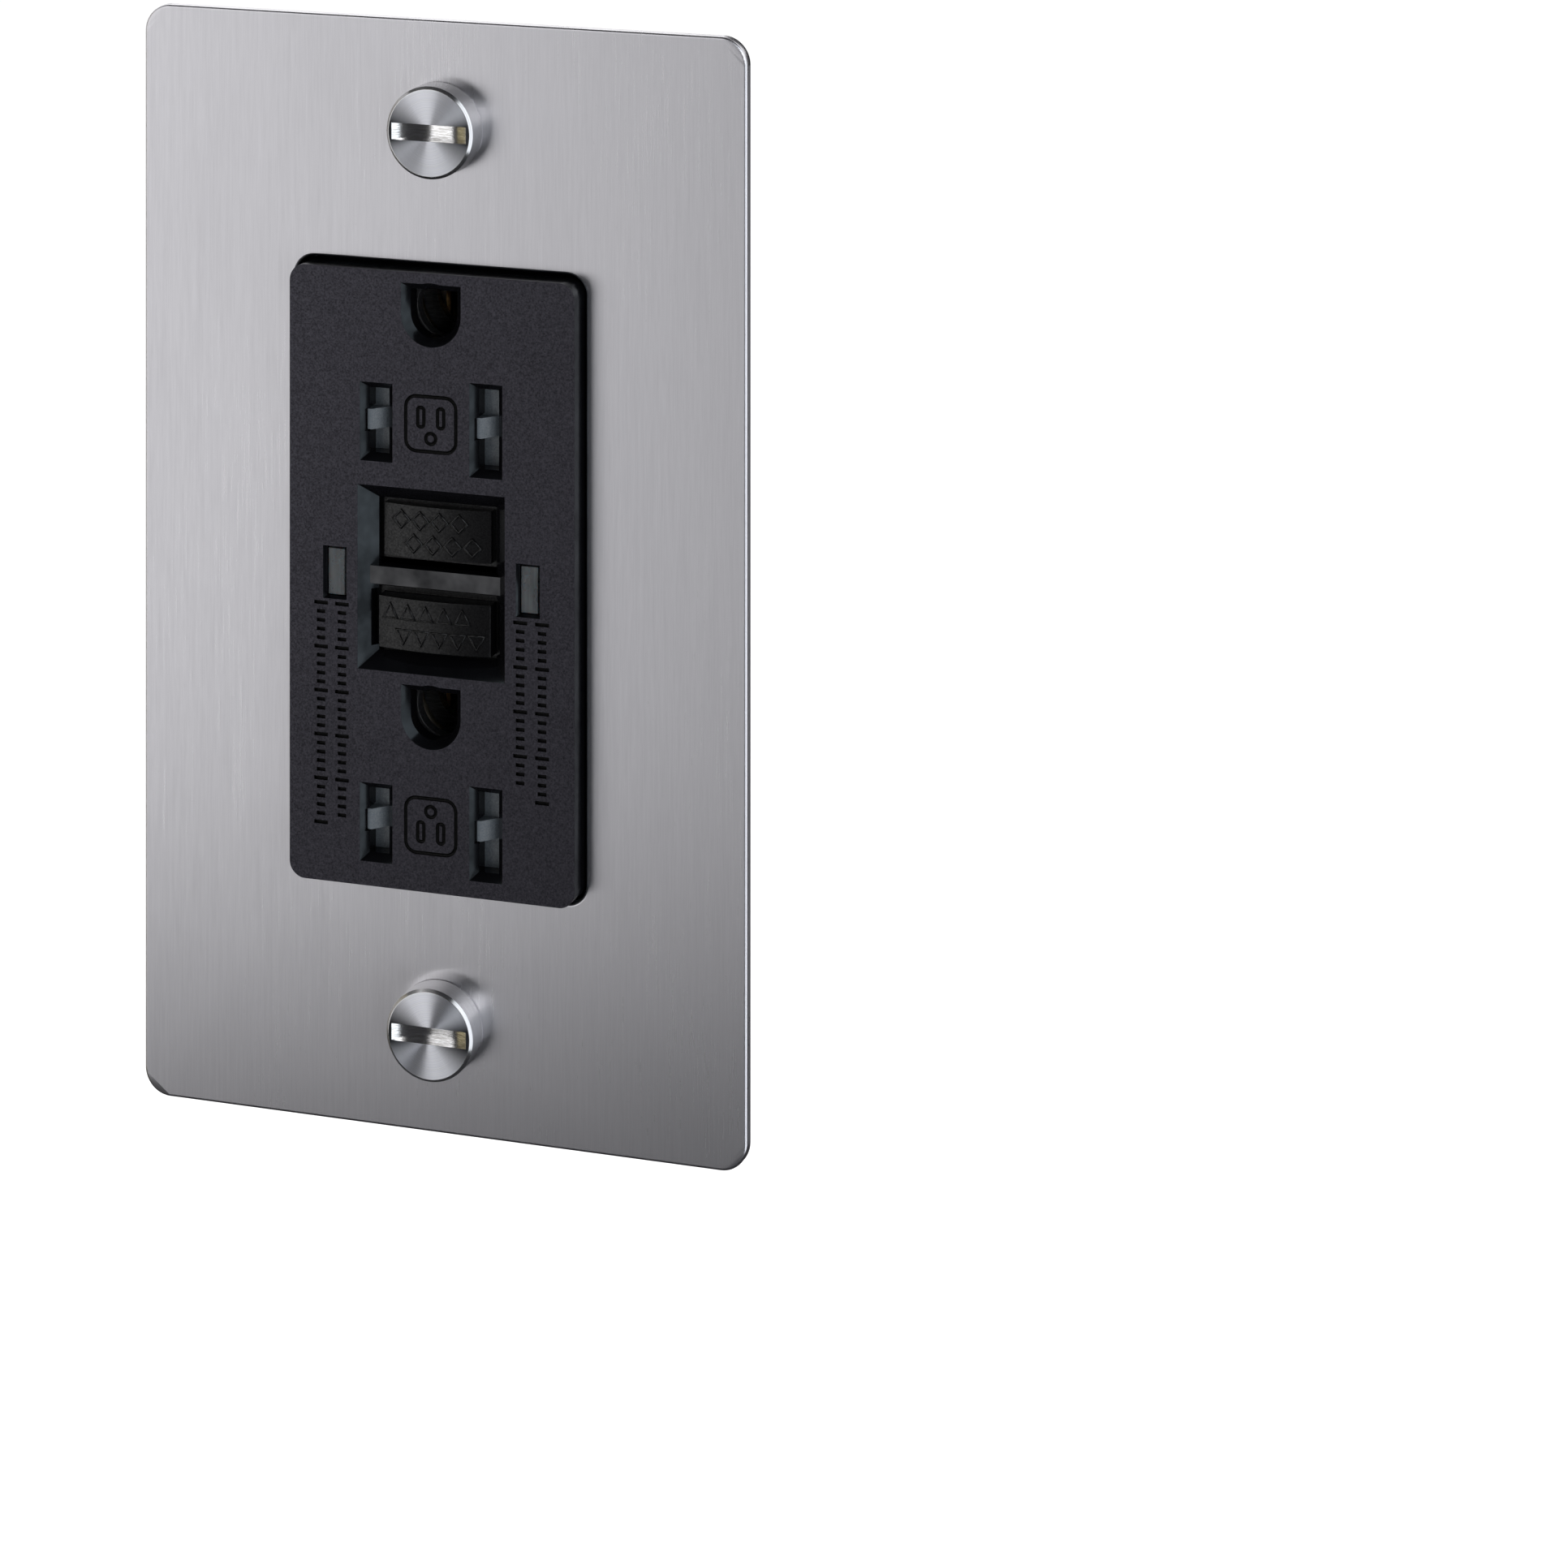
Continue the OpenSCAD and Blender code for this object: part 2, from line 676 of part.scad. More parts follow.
// Load bar on the side given by -1 or 1: two blade clips, a terminal and a contact finger
module load_bar(side) {
    x_out = 16.6;
    x_in = 13.2;
    color("goldenrod") scale([side, 1, 1]) difference() {
        union() {
            block([x_in, bar_front, lower_blades_z - 2], [x_out, carrier_front, upper_blades_z + 6.8]);
            for (z = outlets) {
                block([blade_x - 1.8, bar_front, z - 4], [blade_x + 3, carrier_front, z + 4]);
                block([blade_x, bar_front, z - 2], [x_in + 0.5, carrier_front, z + 3]);
            }
            for (z = outlets) blade_clip(blade_x, z);
            block([terminal_x, bar_front, load_z - 4.1], [terminal_x + terminal_t, 19.5, load_z + 4.1]);
            block([12.0, bar_front, -12], [x_in + 0.5, carrier_front, -7.4]);
            block([12.0, bar_front, -12], [12.8, 10.1, -7.4]);
            block([7.0, 9.3, -12], [12.8, 10.1, -7.4]);
        }
        for (z = outlets)
            block([blade_x - 0.75, bar_front - 1, z - 3.6], [blade_x + 0.75, carrier_front + 0.01, z + 3.6]);
        rod_x(2.1, terminal_x - 1, terminal_x + terminal_t + 1, terminal_y, load_z);
    }
}

module line_terminal(side) {
    color(side < 0 ? "goldenrod" : "silver") scale([side, 1, 1]) difference() {
        union() {
            block([terminal_x, 10.0, line_z - 4.1], [terminal_x + terminal_t, 20.1, line_z + 4.1]);
            block([11.4, 19.3, line_z - 4.0], [terminal_x + terminal_t, 20.1, line_z - 1]);
            block([11.4, 19.3, line_z - 4.0], [12.2, board_front + board_t + 0.6, line_z - 2.4]);
        }
        rod_x(2.1, terminal_x - 1, terminal_x + terminal_t + 1, terminal_y, line_z);
    }
}

module clamp(side, z) {
    x0 = terminal_x + terminal_t + 0.1;
    color("silver") scale([side, 1, 1]) difference() {
        block([x0, terminal_y - 4.2, z - 4.2], [x0 + clamp_t, terminal_y + 4.2, z + 4.2]);
        rod_x(2.2, x0 - 1, x0 + clamp_t + 1, terminal_y, z);
        for (s = [-1, 1])
            translate([x0, terminal_y, z + s * 3.2])
                rotate([0, 0, 45]) cube([0.6, 0.6, 12], center = true);
        for (s = [-1, 1])
            translate([x0, terminal_y, z + s * 3.2]) rotate([45, 0, 0]) cube([0.7, 0.5, 0.5], center = true);
    }
}

module terminal_screw(side, z) {
    x0 = terminal_x + terminal_t + 0.1 + clamp_t + 0.03;
    side_screw(side, side * x0, terminal_y, z, 3.9, 2.4, terminal_screw_r, x0 - 11.2,
               side < 0 ? "goldenrod" : "silver");
}

// Spring arm with a contact rivet near its free end
module contact_arm(side) {
    x = side * arm_x;
    color("peru") union() {
        block([x - arm_w / 2, arm_front, arm_pivot_z], [x + arm_w / 2, arm_front + arm_t, arm_tip_z]);
        rod_x(0.6, x - arm_w / 2, x + arm_w / 2, arm_front + arm_t / 2, arm_pivot_z);
        rod_y(1.3, arm_front - 0.7, arm_front + 0.1, x, rivet_z);
    }
}

// Fixed lead from the board, up through the transformers and out to the arm's root
module line_lead(side) {
    color("peru") scale([side, 1, 1]) union() {
        block([0.8, arm_front, boat_z - 1.2], [1.8, board_front + board_t + 0.6, boat_z + 1.2]);
        block([0.8, arm_front, boat_z - 1.2], [arm_x + arm_w / 2, arm_front + arm_t, boat_z + 1.2]);
        block([arm_x - arm_w / 2, arm_front, boat_z - 1.2],
              [arm_x + arm_w / 2, arm_front + arm_t, arm_pivot_z - 0.7]);
    }
}

module fixed_contacts() {
    color("silver") for (x = [-1, 1]) rod_y(1.3, 10.1, 10.6, x * arm_x, rivet_z);
}

// ---------- reset latch and solenoid ----------

module latch_block() {
    front = arm_front + 0.3;
    wing_front = arm_front + arm_t + latch_gap;
    color([0.8, 0.3, 0.2]) difference() {
        union() {
            block([-6.2, front, reset_z - 3.8], [6.2, 18.9, reset_z + 3.6]);
            block([-10.4, wing_front, reset_z - 1.6], [10.4, wing_front + 1.2, arm_tip_z + 0.6]);
        }
        rod_y(1.6, front - 1, 20, 0, reset_z);
        block([-3.5, latch_plate_y - 0.25, reset_z - 9], [3.5, latch_plate_y + 1.05, reset_z + 9]);
    }
}

module latch_plate() {
    color("silver") difference() {
        union() {
            block([-3.2, latch_plate_y, reset_z - 5.6], [3.2, latch_plate_y + 0.8, 3.6]);
            block([-2.4, latch_plate_y, 2.8], [2.4, latch_plate_y + 3.4, 3.6]);
        }
        block([-1.45, latch_plate_y - 1, reset_z - 1.4], [1.45, latch_plate_y + 2, reset_z + 3.4]);
    }
}

module plunger() {
    color("silver") union() {
        rod_z(1.0, 3.7, 10.3, 0, solenoid_y);
        rod_z(2.0, 10.3, 21.4, 0, solenoid_y);
    }
}

module plunger_spring() {
    color("silver") translate([0, solenoid_y, 6.15]) coil(1.55, 0.2, 4.1, 5);
}

module solenoid_bobbin() {
    color("ivory") difference() {
        union() {
            rod_z(2.9, 6.1, 21.9, 0, solenoid_y);
            for (z = [6.1, 21.1])
                block([-4.6, solenoid_y - 4.6, z], [4.6, solenoid_y + 4.6, z + 0.8]);
        }
        rod_z(2.3, 5, 23, 0, solenoid_y);
    }
}

module solenoid_winding() {
    color("chocolate") difference() {
        rod_z(4.4, 6.95, 21.05, 0, solenoid_y);
        rod_z(2.95, 5, 23, 0, solenoid_y);
    }
}

module solenoid_frame() {
    t = 1.0;
    color("silver") difference() {
        union() {
            block([-4.6, solenoid_y - 4.4, 5.0], [5.9, solenoid_y + 4.4, 5.0 + t]);
            block([-4.6, solenoid_y - 4.4, 22.0], [5.9, solenoid_y + 4.4, 22.0 + t]);
            block([4.9, solenoid_y - 4.4, 5.0], [5.9, solenoid_y + 4.4, 22.0 + t]);
        }
        rod_z(1.2, 4, 7, 0, solenoid_y);
    }
}

// ---------- circuit board ----------

module circuit_board() {
    color("darkgreen") difference() {
        layer(board_front, board_front + board_t) difference() {
            square([32, 63], center = true);
            for (x = [-1, 1], z = [-1, 1])
                translate([x * 14, z * assembly_xz[1]]) square([7, 6], center = true);
            for (t = terminal_sites)
                translate([t[0] * 17, t[1]]) square([8.2, 12.8], center = true);
            for (x = [-1, 1]) translate([x * 1.3, boat_z]) square([1.2, 2.6], center = true);
            for (x = [-1, 1]) translate([x * 11.8, line_z - 3.2]) square([1.0, 1.8], center = true);
            for (s = [-1, 1]) translate([surge_x + s * 2.4, surge_z]) circle(0.4);
            translate([test_pin_x, test_z]) circle(0.6);
        }
    }
}

module transformer_cores() {
    color("dimgray") for (y = [14.9, 19.0])
        difference() {
            rod_y(6.6, y, y + 1.6, 0, boat_z);
            rod_y(4.2, y - 1, y + 3, 0, boat_z);
        }
}

// Wire wrapped round each core, open over a short arc
module transformer_windings() {
    color("chocolate") for (y = [14.2, 18.3])
        translate([0, y, boat_z]) rotate([-90, 0, 0]) rotate_extrude(angle = 300) difference() {
            translate([3.5, 0]) square([3.8, 3.0]);
            translate([4.15, 0.65]) square([2.5, 1.7]);
        }
}

module transformer_boat() {
    y0 = 13.7;
    color("black") difference() {
        rod_y(boat_r, y0, board_front - 0.05, 0, boat_z);
        rod_y(7.5, y0 + 0.4, board_front + 1, 0, boat_z);
        rod_y(3.3, y0 - 1, board_front + 1, 0, boat_z);
    }
}

module indicator_leds() {
    color("whitesmoke") for (x = [-1, 1])
        block([x * lamp_x - 0.8, 20.6, lamp_z - 1.5], [x * lamp_x + 0.8, board_front - 0.02, lamp_z + 1.5]);
}

module surge_disc() {
    color("royalblue") rod_y(3.3, 17.8, 21.2, surge_x, surge_z);
    color("silver") for (s = [-1, 1])
        rod_y(0.3, 21.2, board_front + board_t + 0.8, surge_x + s * 2.4, surge_z);
}

module power_devices() {
    // thyristor and controller, flat on the board
    color([0.1, 0.1, 0.1]) {
        block([-10.6, 19.0, 24.6], [-6.2, board_front - 0.02, 28.2]);
        block([7.2, 20.6, 8.0], [11.2, board_front - 0.02, 13.4]);
    }
}

module small_parts() {
    // film capacitors
    color("orange") for (z = [24.8, 29.0])
        block([-3.6, 17.4, z], [3.6, board_front - 0.02, z + 2.8]);
    // resistors and diodes lying on the board
    color("tan") for (i = [0:3])
        rod_z(0.9, 6.0, 11.0, -12.2 + i * 2.1, board_front - 0.95);
}

module test_leaf() {
    color("goldenrod") union() {
        block([-7.0, bar_front, test_z - 1.3], [8.2, bar_front + 0.3, test_z + 1.3]);
        rod_z(0.4, test_z - 1.3, test_z + 1.3, -7.0, bar_front + 0.3);
    }
}

module test_pin() {
    color("silver") rod_y(0.5, 6.8, board_front + board_t + 0.6, test_pin_x, test_z);
}

// ---------- nodes ----------

face_plate();
plate_liner();
coin_screw(plate_screw_z);  // coin_screw_top
coin_screw(-plate_screw_z);  // coin_screw_bottom
front_cover();
test_button();
reset_button();
light_pipe(-lamp_x);  // light_pipe_left
light_pipe(lamp_x);  // light_pipe_right
shutter(upper_blades_z);  // shutter_top
shutter(lower_blades_z);  // shutter_bottom
shutter_springs();
shutter_carrier();
mounting_strap();
ground_contact(upper_blades_z + ground_rise);  // ground_contact_top
ground_contact(lower_blades_z + ground_rise);  // ground_contact_bottom
ground_screw();
box_screw(box_screw_z);  // box_screw_top
box_screw(-box_screw_z);  // box_screw_bottom
contact_carrier();
rear_housing();
assembly_screws();
load_bar(-1);  // load_hot_bar
load_bar(1);  // load_neutral_bar
line_terminal(-1);  // line_hot_terminal
line_terminal(1);  // line_neutral_terminal
clamp(-1, load_z);  // load_hot_clamp
clamp(1, load_z);  // load_neutral_clamp
clamp(-1, line_z);  // line_hot_clamp
clamp(1, line_z);  // line_neutral_clamp
terminal_screw(-1, load_z);  // load_hot_screw
terminal_screw(1, load_z);  // load_neutral_screw
terminal_screw(-1, line_z);  // line_hot_screw
terminal_screw(1, line_z);  // line_neutral_screw
contact_arm(-1);  // hot_contact_arm
contact_arm(1);  // neutral_contact_arm
line_lead(-1);  // hot_lead
line_lead(1);  // neutral_lead
fixed_contacts();
reset_pin();
reset_spring();
test_leaf();
test_pin();
latch_block();
latch_plate();
plunger();
plunger_spring();
solenoid_bobbin();
solenoid_winding();
solenoid_frame();
circuit_board();
transformer_cores();
transformer_windings();
transformer_boat();
indicator_leds();
surge_disc();
power_devices();
small_parts();
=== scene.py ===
import json
import math

import bmesh
import bpy
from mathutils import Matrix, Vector

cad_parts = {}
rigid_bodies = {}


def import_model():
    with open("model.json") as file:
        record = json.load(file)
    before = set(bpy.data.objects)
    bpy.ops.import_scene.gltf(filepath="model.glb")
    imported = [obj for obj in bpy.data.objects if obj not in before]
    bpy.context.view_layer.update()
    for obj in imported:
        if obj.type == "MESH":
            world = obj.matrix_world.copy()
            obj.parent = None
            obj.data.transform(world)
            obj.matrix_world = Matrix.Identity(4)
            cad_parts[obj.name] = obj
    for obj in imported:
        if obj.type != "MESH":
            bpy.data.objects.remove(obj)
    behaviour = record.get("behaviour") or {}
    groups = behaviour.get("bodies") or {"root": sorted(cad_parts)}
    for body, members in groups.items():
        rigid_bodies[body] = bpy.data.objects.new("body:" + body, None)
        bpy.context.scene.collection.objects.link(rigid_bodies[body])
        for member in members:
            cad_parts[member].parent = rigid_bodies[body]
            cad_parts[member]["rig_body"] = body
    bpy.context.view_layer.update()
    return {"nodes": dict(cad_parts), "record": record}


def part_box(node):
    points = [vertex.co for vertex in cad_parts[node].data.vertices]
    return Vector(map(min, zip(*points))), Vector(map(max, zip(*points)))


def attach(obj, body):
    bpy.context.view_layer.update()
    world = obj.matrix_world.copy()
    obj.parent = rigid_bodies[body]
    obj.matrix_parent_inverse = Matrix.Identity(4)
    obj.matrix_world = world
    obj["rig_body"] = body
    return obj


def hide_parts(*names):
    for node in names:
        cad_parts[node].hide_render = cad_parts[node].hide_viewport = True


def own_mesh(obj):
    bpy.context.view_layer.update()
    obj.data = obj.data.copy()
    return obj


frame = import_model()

MM = 0.001
THREAD_PITCH = 0.794 * MM
MERGE = 0.0005 * MM


# ---------- materials ----------

class Finish:
    """Builds one material's node tree, with lengths in the object's own metres."""

    def __init__(self, name, **inputs):
        self.material = bpy.data.materials.new(name)
        self.material.use_nodes = True
        self.tree = self.material.node_tree
        self.shader = self.tree.nodes["Principled BSDF"]
        self.set(self.shader, **inputs)

    def set(self, node, **inputs):
        for key, value in inputs.items():
            socket = node.inputs[key.replace("_", " ")]
            if isinstance(value, bpy.types.NodeSocket):
                self.tree.links.new(value, socket)
            else:
                socket.default_value = value

    def node(self, kind, **settings):
        made = self.tree.nodes.new("ShaderNode" + kind)
        for key, value in settings.items():
            setattr(made, key, value)
        return made

    def position(self):
        return self.node("TexCoord").outputs["Object"]

    def noise(self, scale, detail=2.0, roughness=0.5):
        """Noise whose cells are scale = (x, y, z) millimetres across."""
        mapping = self.node("Mapping")
        self.set(mapping, Vector=self.position())
        mapping.inputs["Scale"].default_value = [1 / (s * MM) for s in scale]
        noise = self.node("TexNoise")
        self.set(noise, Vector=mapping.outputs[0], Scale=1.0, Detail=detail, Roughness=roughness)
        return noise.outputs["Fac"]

    def math(self, operation, a, b=0.0):
        made = self.node("Math", operation=operation)
        for socket, value in zip(made.inputs, (a, b)):
            if isinstance(value, bpy.types.NodeSocket):
                self.tree.links.new(value, socket)
            else:
                socket.default_value = value
        return made.outputs[0]

    def vector(self, operation, a, b=(0, 0, 0), factor=1.0):
        made = self.node("VectorMath", operation=operation)
        for socket, value in zip(made.inputs, (a, b, (0, 0, 0), factor)):
            if isinstance(value, bpy.types.NodeSocket):
                self.tree.links.new(value, socket)
            else:
                socket.default_value = value
        return made.outputs["Value" if operation in ("LENGTH", "DOT_PRODUCT") else "Vector"]

    def ramp(self, value, low, high, start=0.0, end=1.0):
        """Value from start to end runs from low to high, which are numbers or colours."""
        if isinstance(low, (int, float)):
            made = self.node("MapRange")
            self.set(made, Value=value, From_Min=start, From_Max=end, To_Min=low, To_Max=high)
            return made.outputs[0]
        made = self.node("ValToRGB")
        self.set(made, Fac=value)
        for element, place, colour in zip(made.color_ramp.elements, (start, end), (low, high)):
            element.position = place
            element.color = (*colour, 1)
        return made.outputs[0]

    def bump(self, height, depth, strength=1.0):
        """Bumps of the given depth in millimetres."""
        made = self.node("Bump")
        self.set(made, Height=height, Distance=depth * MM, Strength=strength)
        self.set(self.shader, Normal=made.outputs[0])

    def tangent(self, direction):
        """Spreads highlights along a direction in the object's frame."""
        made = self.node("VectorTransform", vector_type="VECTOR", convert_from="OBJECT", convert_to="WORLD")
        self.set(made, Vector=direction)
        self.set(self.shader, Tangent=made.outputs[0])


def brushed_plate():
    """Stainless sheet brushed up and down, so its highlights spread sideways."""
    f = Finish("brushed_plate", Metallic=1.0, Anisotropic=0.82)
    hair = f.noise((0.09, 2.0, 3.5), detail=4.0, roughness=0.65)
    streak = f.noise((0.35, 4.0, 14.0), detail=3.0, roughness=0.65)
    cloud = f.noise((16.0, 16.0, 40.0), detail=2.0)
    grain = f.math("ADD", f.math("MULTIPLY", hair, 0.62), f.math("MULTIPLY", streak, 0.38))
    f.set(f.shader, Base_Color=f.ramp(grain, (0.578, 0.569, 0.597), (0.652, 0.643, 0.671), 0.3, 0.7))
    rough = f.math("ADD", f.ramp(grain, 0.31, 0.27, 0.3, 0.7), f.ramp(cloud, -0.01, 0.01, 0.3, 0.7))
    f.set(f.shader, Roughness=rough)
    f.bump(grain, 0.003, 0.5)
    f.tangent((1, 0, 0))
    return f.material


def turned_face(name, centre):
    """Faced metal: fine rings about the screw's axis spread its highlights into fans. Its colour also carries
    painted highlight fans above and below the middle and painted shade to the left and right.
    """
    f = Finish(name, Metallic=1.0, Anisotropic=1.0)
    offset = f.vector("SUBTRACT", f.position(), tuple(centre))
    flat = f.vector("MULTIPLY", offset, (1, 0, 1))
    radius = f.vector("LENGTH", flat)
    world = f.node("VectorTransform", vector_type="NORMAL", convert_from="OBJECT", convert_to="WORLD")
    f.set(world, Vector=flat)
    upright = f.node("SeparateXYZ")
    f.set(upright, Vector=world.outputs[0])
    # painted light: colour is scaled by how upright the radius stands in the world, from 0.06 at the left and
    # right (painted shade) to 1.2 at the top and bottom (painted highlight)
    painted_fan_light = f.ramp(f.math("ABSOLUTE", upright.outputs["Z"]), 0.06, 1.2, 0.22, 0.84)
    rings = f.node("TexNoise", noise_dimensions="1D")
    f.set(rings, W=radius, Scale=1 / (0.05 * MM), Detail=3.0)
    colour = f.ramp(rings.outputs["Fac"], (0.62, 0.63, 0.68), (0.82, 0.83, 0.88), 0.3, 0.7)
    # the colour carries the painted highlight fans and painted shade
    f.set(f.shader, Base_Color=f.vector("SCALE", colour, factor=painted_fan_light))
    f.set(f.shader, Roughness=f.ramp(rings.outputs["Fac"], 0.46, 0.40, 0.3, 0.7))
    f.bump(rings.outputs["Fac"], 0.004, 0.4)
    f.tangent(f.vector("NORMALIZE", flat))
    return f.material


def turned_side():
    """Lathe-turned cylinder: rings run round it, so highlights spread along the axis."""
    f = Finish("turned_side", Metallic=1.0, Anisotropic=0.75)
    rings = f.noise((4.0, 0.05, 4.0), detail=3.0)
    f.set(f.shader, Base_Color=f.ramp(rings, (0.48, 0.475, 0.48), (0.64, 0.635, 0.64), 0.3, 0.7))
    f.set(f.shader, Roughness=f.ramp(rings, 0.26, 0.18, 0.3, 0.7))
    f.bump(rings, 0.004, 0.5)
    f.tangent((0, 1, 0))
    return f.material


def milled_slot():
    """Slot walls and floor, with cutter marks along the slot."""
    f = Finish("milled_slot", Metallic=1.0)
    marks = f.noise((1.1, 0.6, 0.07), detail=3.0, roughness=0.7)
    f.set(f.shader, Base_Color=f.ramp(marks, (0.48, 0.47, 0.46), (0.85, 0.85, 0.86), 0.38, 0.62))
    f.set(f.shader, Roughness=f.ramp(marks, 0.2, 0.1, 0.3, 0.7))
    f.bump(marks, 0.006, 0.6)
    return f.material


def plated(name, low, high, grain, rough=(0.42, 0.28), depth=0.006):
    """Rolled or plated metal with blotches and faint grain; grain is its cell size in millimetres."""
    f = Finish(name, Metallic=1.0)
    blotch = f.noise((3.0, 3.0, 3.0), detail=4.0, roughness=0.65)
    fine = f.noise(grain, detail=3.0, roughness=0.6)
    mix = f.math("ADD", f.math("MULTIPLY", blotch, 0.45), f.math("MULTIPLY", fine, 0.55))
    f.set(f.shader, Base_Color=f.ramp(mix, low, high, 0.36, 0.64))
    f.set(f.shader, Roughness=f.ramp(blotch, rough[0], rough[1], 0.35, 0.65))
    f.bump(fine, depth, 0.6)
    return f.material


def moulded(name, low, high, rough, grain=0.11, depth=0.02, specular=0.5, tint=(1, 1, 1)):
    """Moulded plastic with a fine spark-eroded grain."""
    f = Finish(name, Specular_Tint=(*tint, 1))
    fine = f.noise((grain, grain, grain), detail=3.0, roughness=0.7)
    coarse = f.noise((grain * 3.1,) * 3, detail=2.0)
    cloud = f.noise((9.0, 9.0, 9.0), detail=3.0)
    mix = f.math("ADD", f.math("MULTIPLY", fine, 0.65), f.math("MULTIPLY", coarse, 0.35))
    shade = f.math("ADD", f.math("MULTIPLY", mix, 0.7), f.math("MULTIPLY", cloud, 0.3))
    f.set(f.shader, Base_Color=f.ramp(shade, low, high, 0.35, 0.65))
    f.set(f.shader, Specular_IOR_Level=f.ramp(fine, 0.5 * specular, 1.5 * specular, 0.3, 0.7))
    f.set(f.shader, Roughness=f.ramp(mix, rough + 0.05, rough - 0.05, 0.3, 0.7))
    f.bump(mix, depth, 0.6)
    return f.material


def frosted_lens():
    """Milky light pipe with faint vertical draw lines."""
    f = Finish("frosted_lens", Subsurface_Weight=0.35, Subsurface_Scale=0.6 * MM, Transmission_Weight=0.25)
    line = f.noise((0.32, 3.0, 5.5), detail=2.0)
    cloud = f.noise((1.1, 1.1, 1.4), detail=2.0)
    mix = f.math("ADD", f.math("MULTIPLY", line, 0.6), f.math("MULTIPLY", cloud, 0.4))
    f.set(f.shader, Base_Color=f.ramp(mix, (0.018, 0.022, 0.026), (0.062, 0.070, 0.075), 0.34, 0.66))
    f.set(f.shader, Roughness=f.ramp(cloud, 0.22, 0.4, 0.3, 0.7))
    f.bump(cloud, 0.03, 0.5)
    return f.material


def enamelled_wire(pitch):
    """Varnished copper, mottled finely enough to read as turns of wire."""
    f = Finish("enamelled_wire", Metallic=0.85, Coat_Weight=0.6, Coat_Roughness=0.12)
    tint = f.noise((pitch, pitch, pitch), detail=3.0)
    f.set(f.shader, Base_Color=f.ramp(tint, (0.33, 0.10, 0.03), (0.62, 0.24, 0.09), 0.35, 0.65))
    f.set(f.shader, Roughness=f.ramp(tint, 0.38, 0.26, 0.3, 0.7))
    f.bump(tint, 0.01, 0.4)
    return f.material


def circuit_green():
    """Solder mask over copper tracks."""
    f = Finish("circuit_green", Coat_Weight=0.4, Coat_Roughness=0.15)
    cells = f.node("TexVoronoi", feature="DISTANCE_TO_EDGE", distance="MANHATTAN")
    f.set(cells, Vector=f.position(), Scale=1 / (4.2 * MM), Randomness=0.8)
    track = f.ramp(cells.outputs["Distance"], 1.0, 0.0, 0.055, 0.075)
    weave = f.noise((0.5, 0.5, 0.5), detail=2.0)
    base = f.ramp(weave, (0.008, 0.085, 0.03), (0.014, 0.125, 0.045), 0.3, 0.7)
    blend = f.node("Mix", data_type="RGBA")
    f.tree.links.new(track, blend.inputs["Factor"])
    f.tree.links.new(base, blend.inputs["A"])
    blend.inputs["B"].default_value = (0.03, 0.24, 0.06, 1)
    f.set(f.shader, Base_Color=blend.outputs["Result"], Roughness=f.ramp(weave, 0.42, 0.32))
    f.bump(track, 0.03, 0.5)
    return f.material


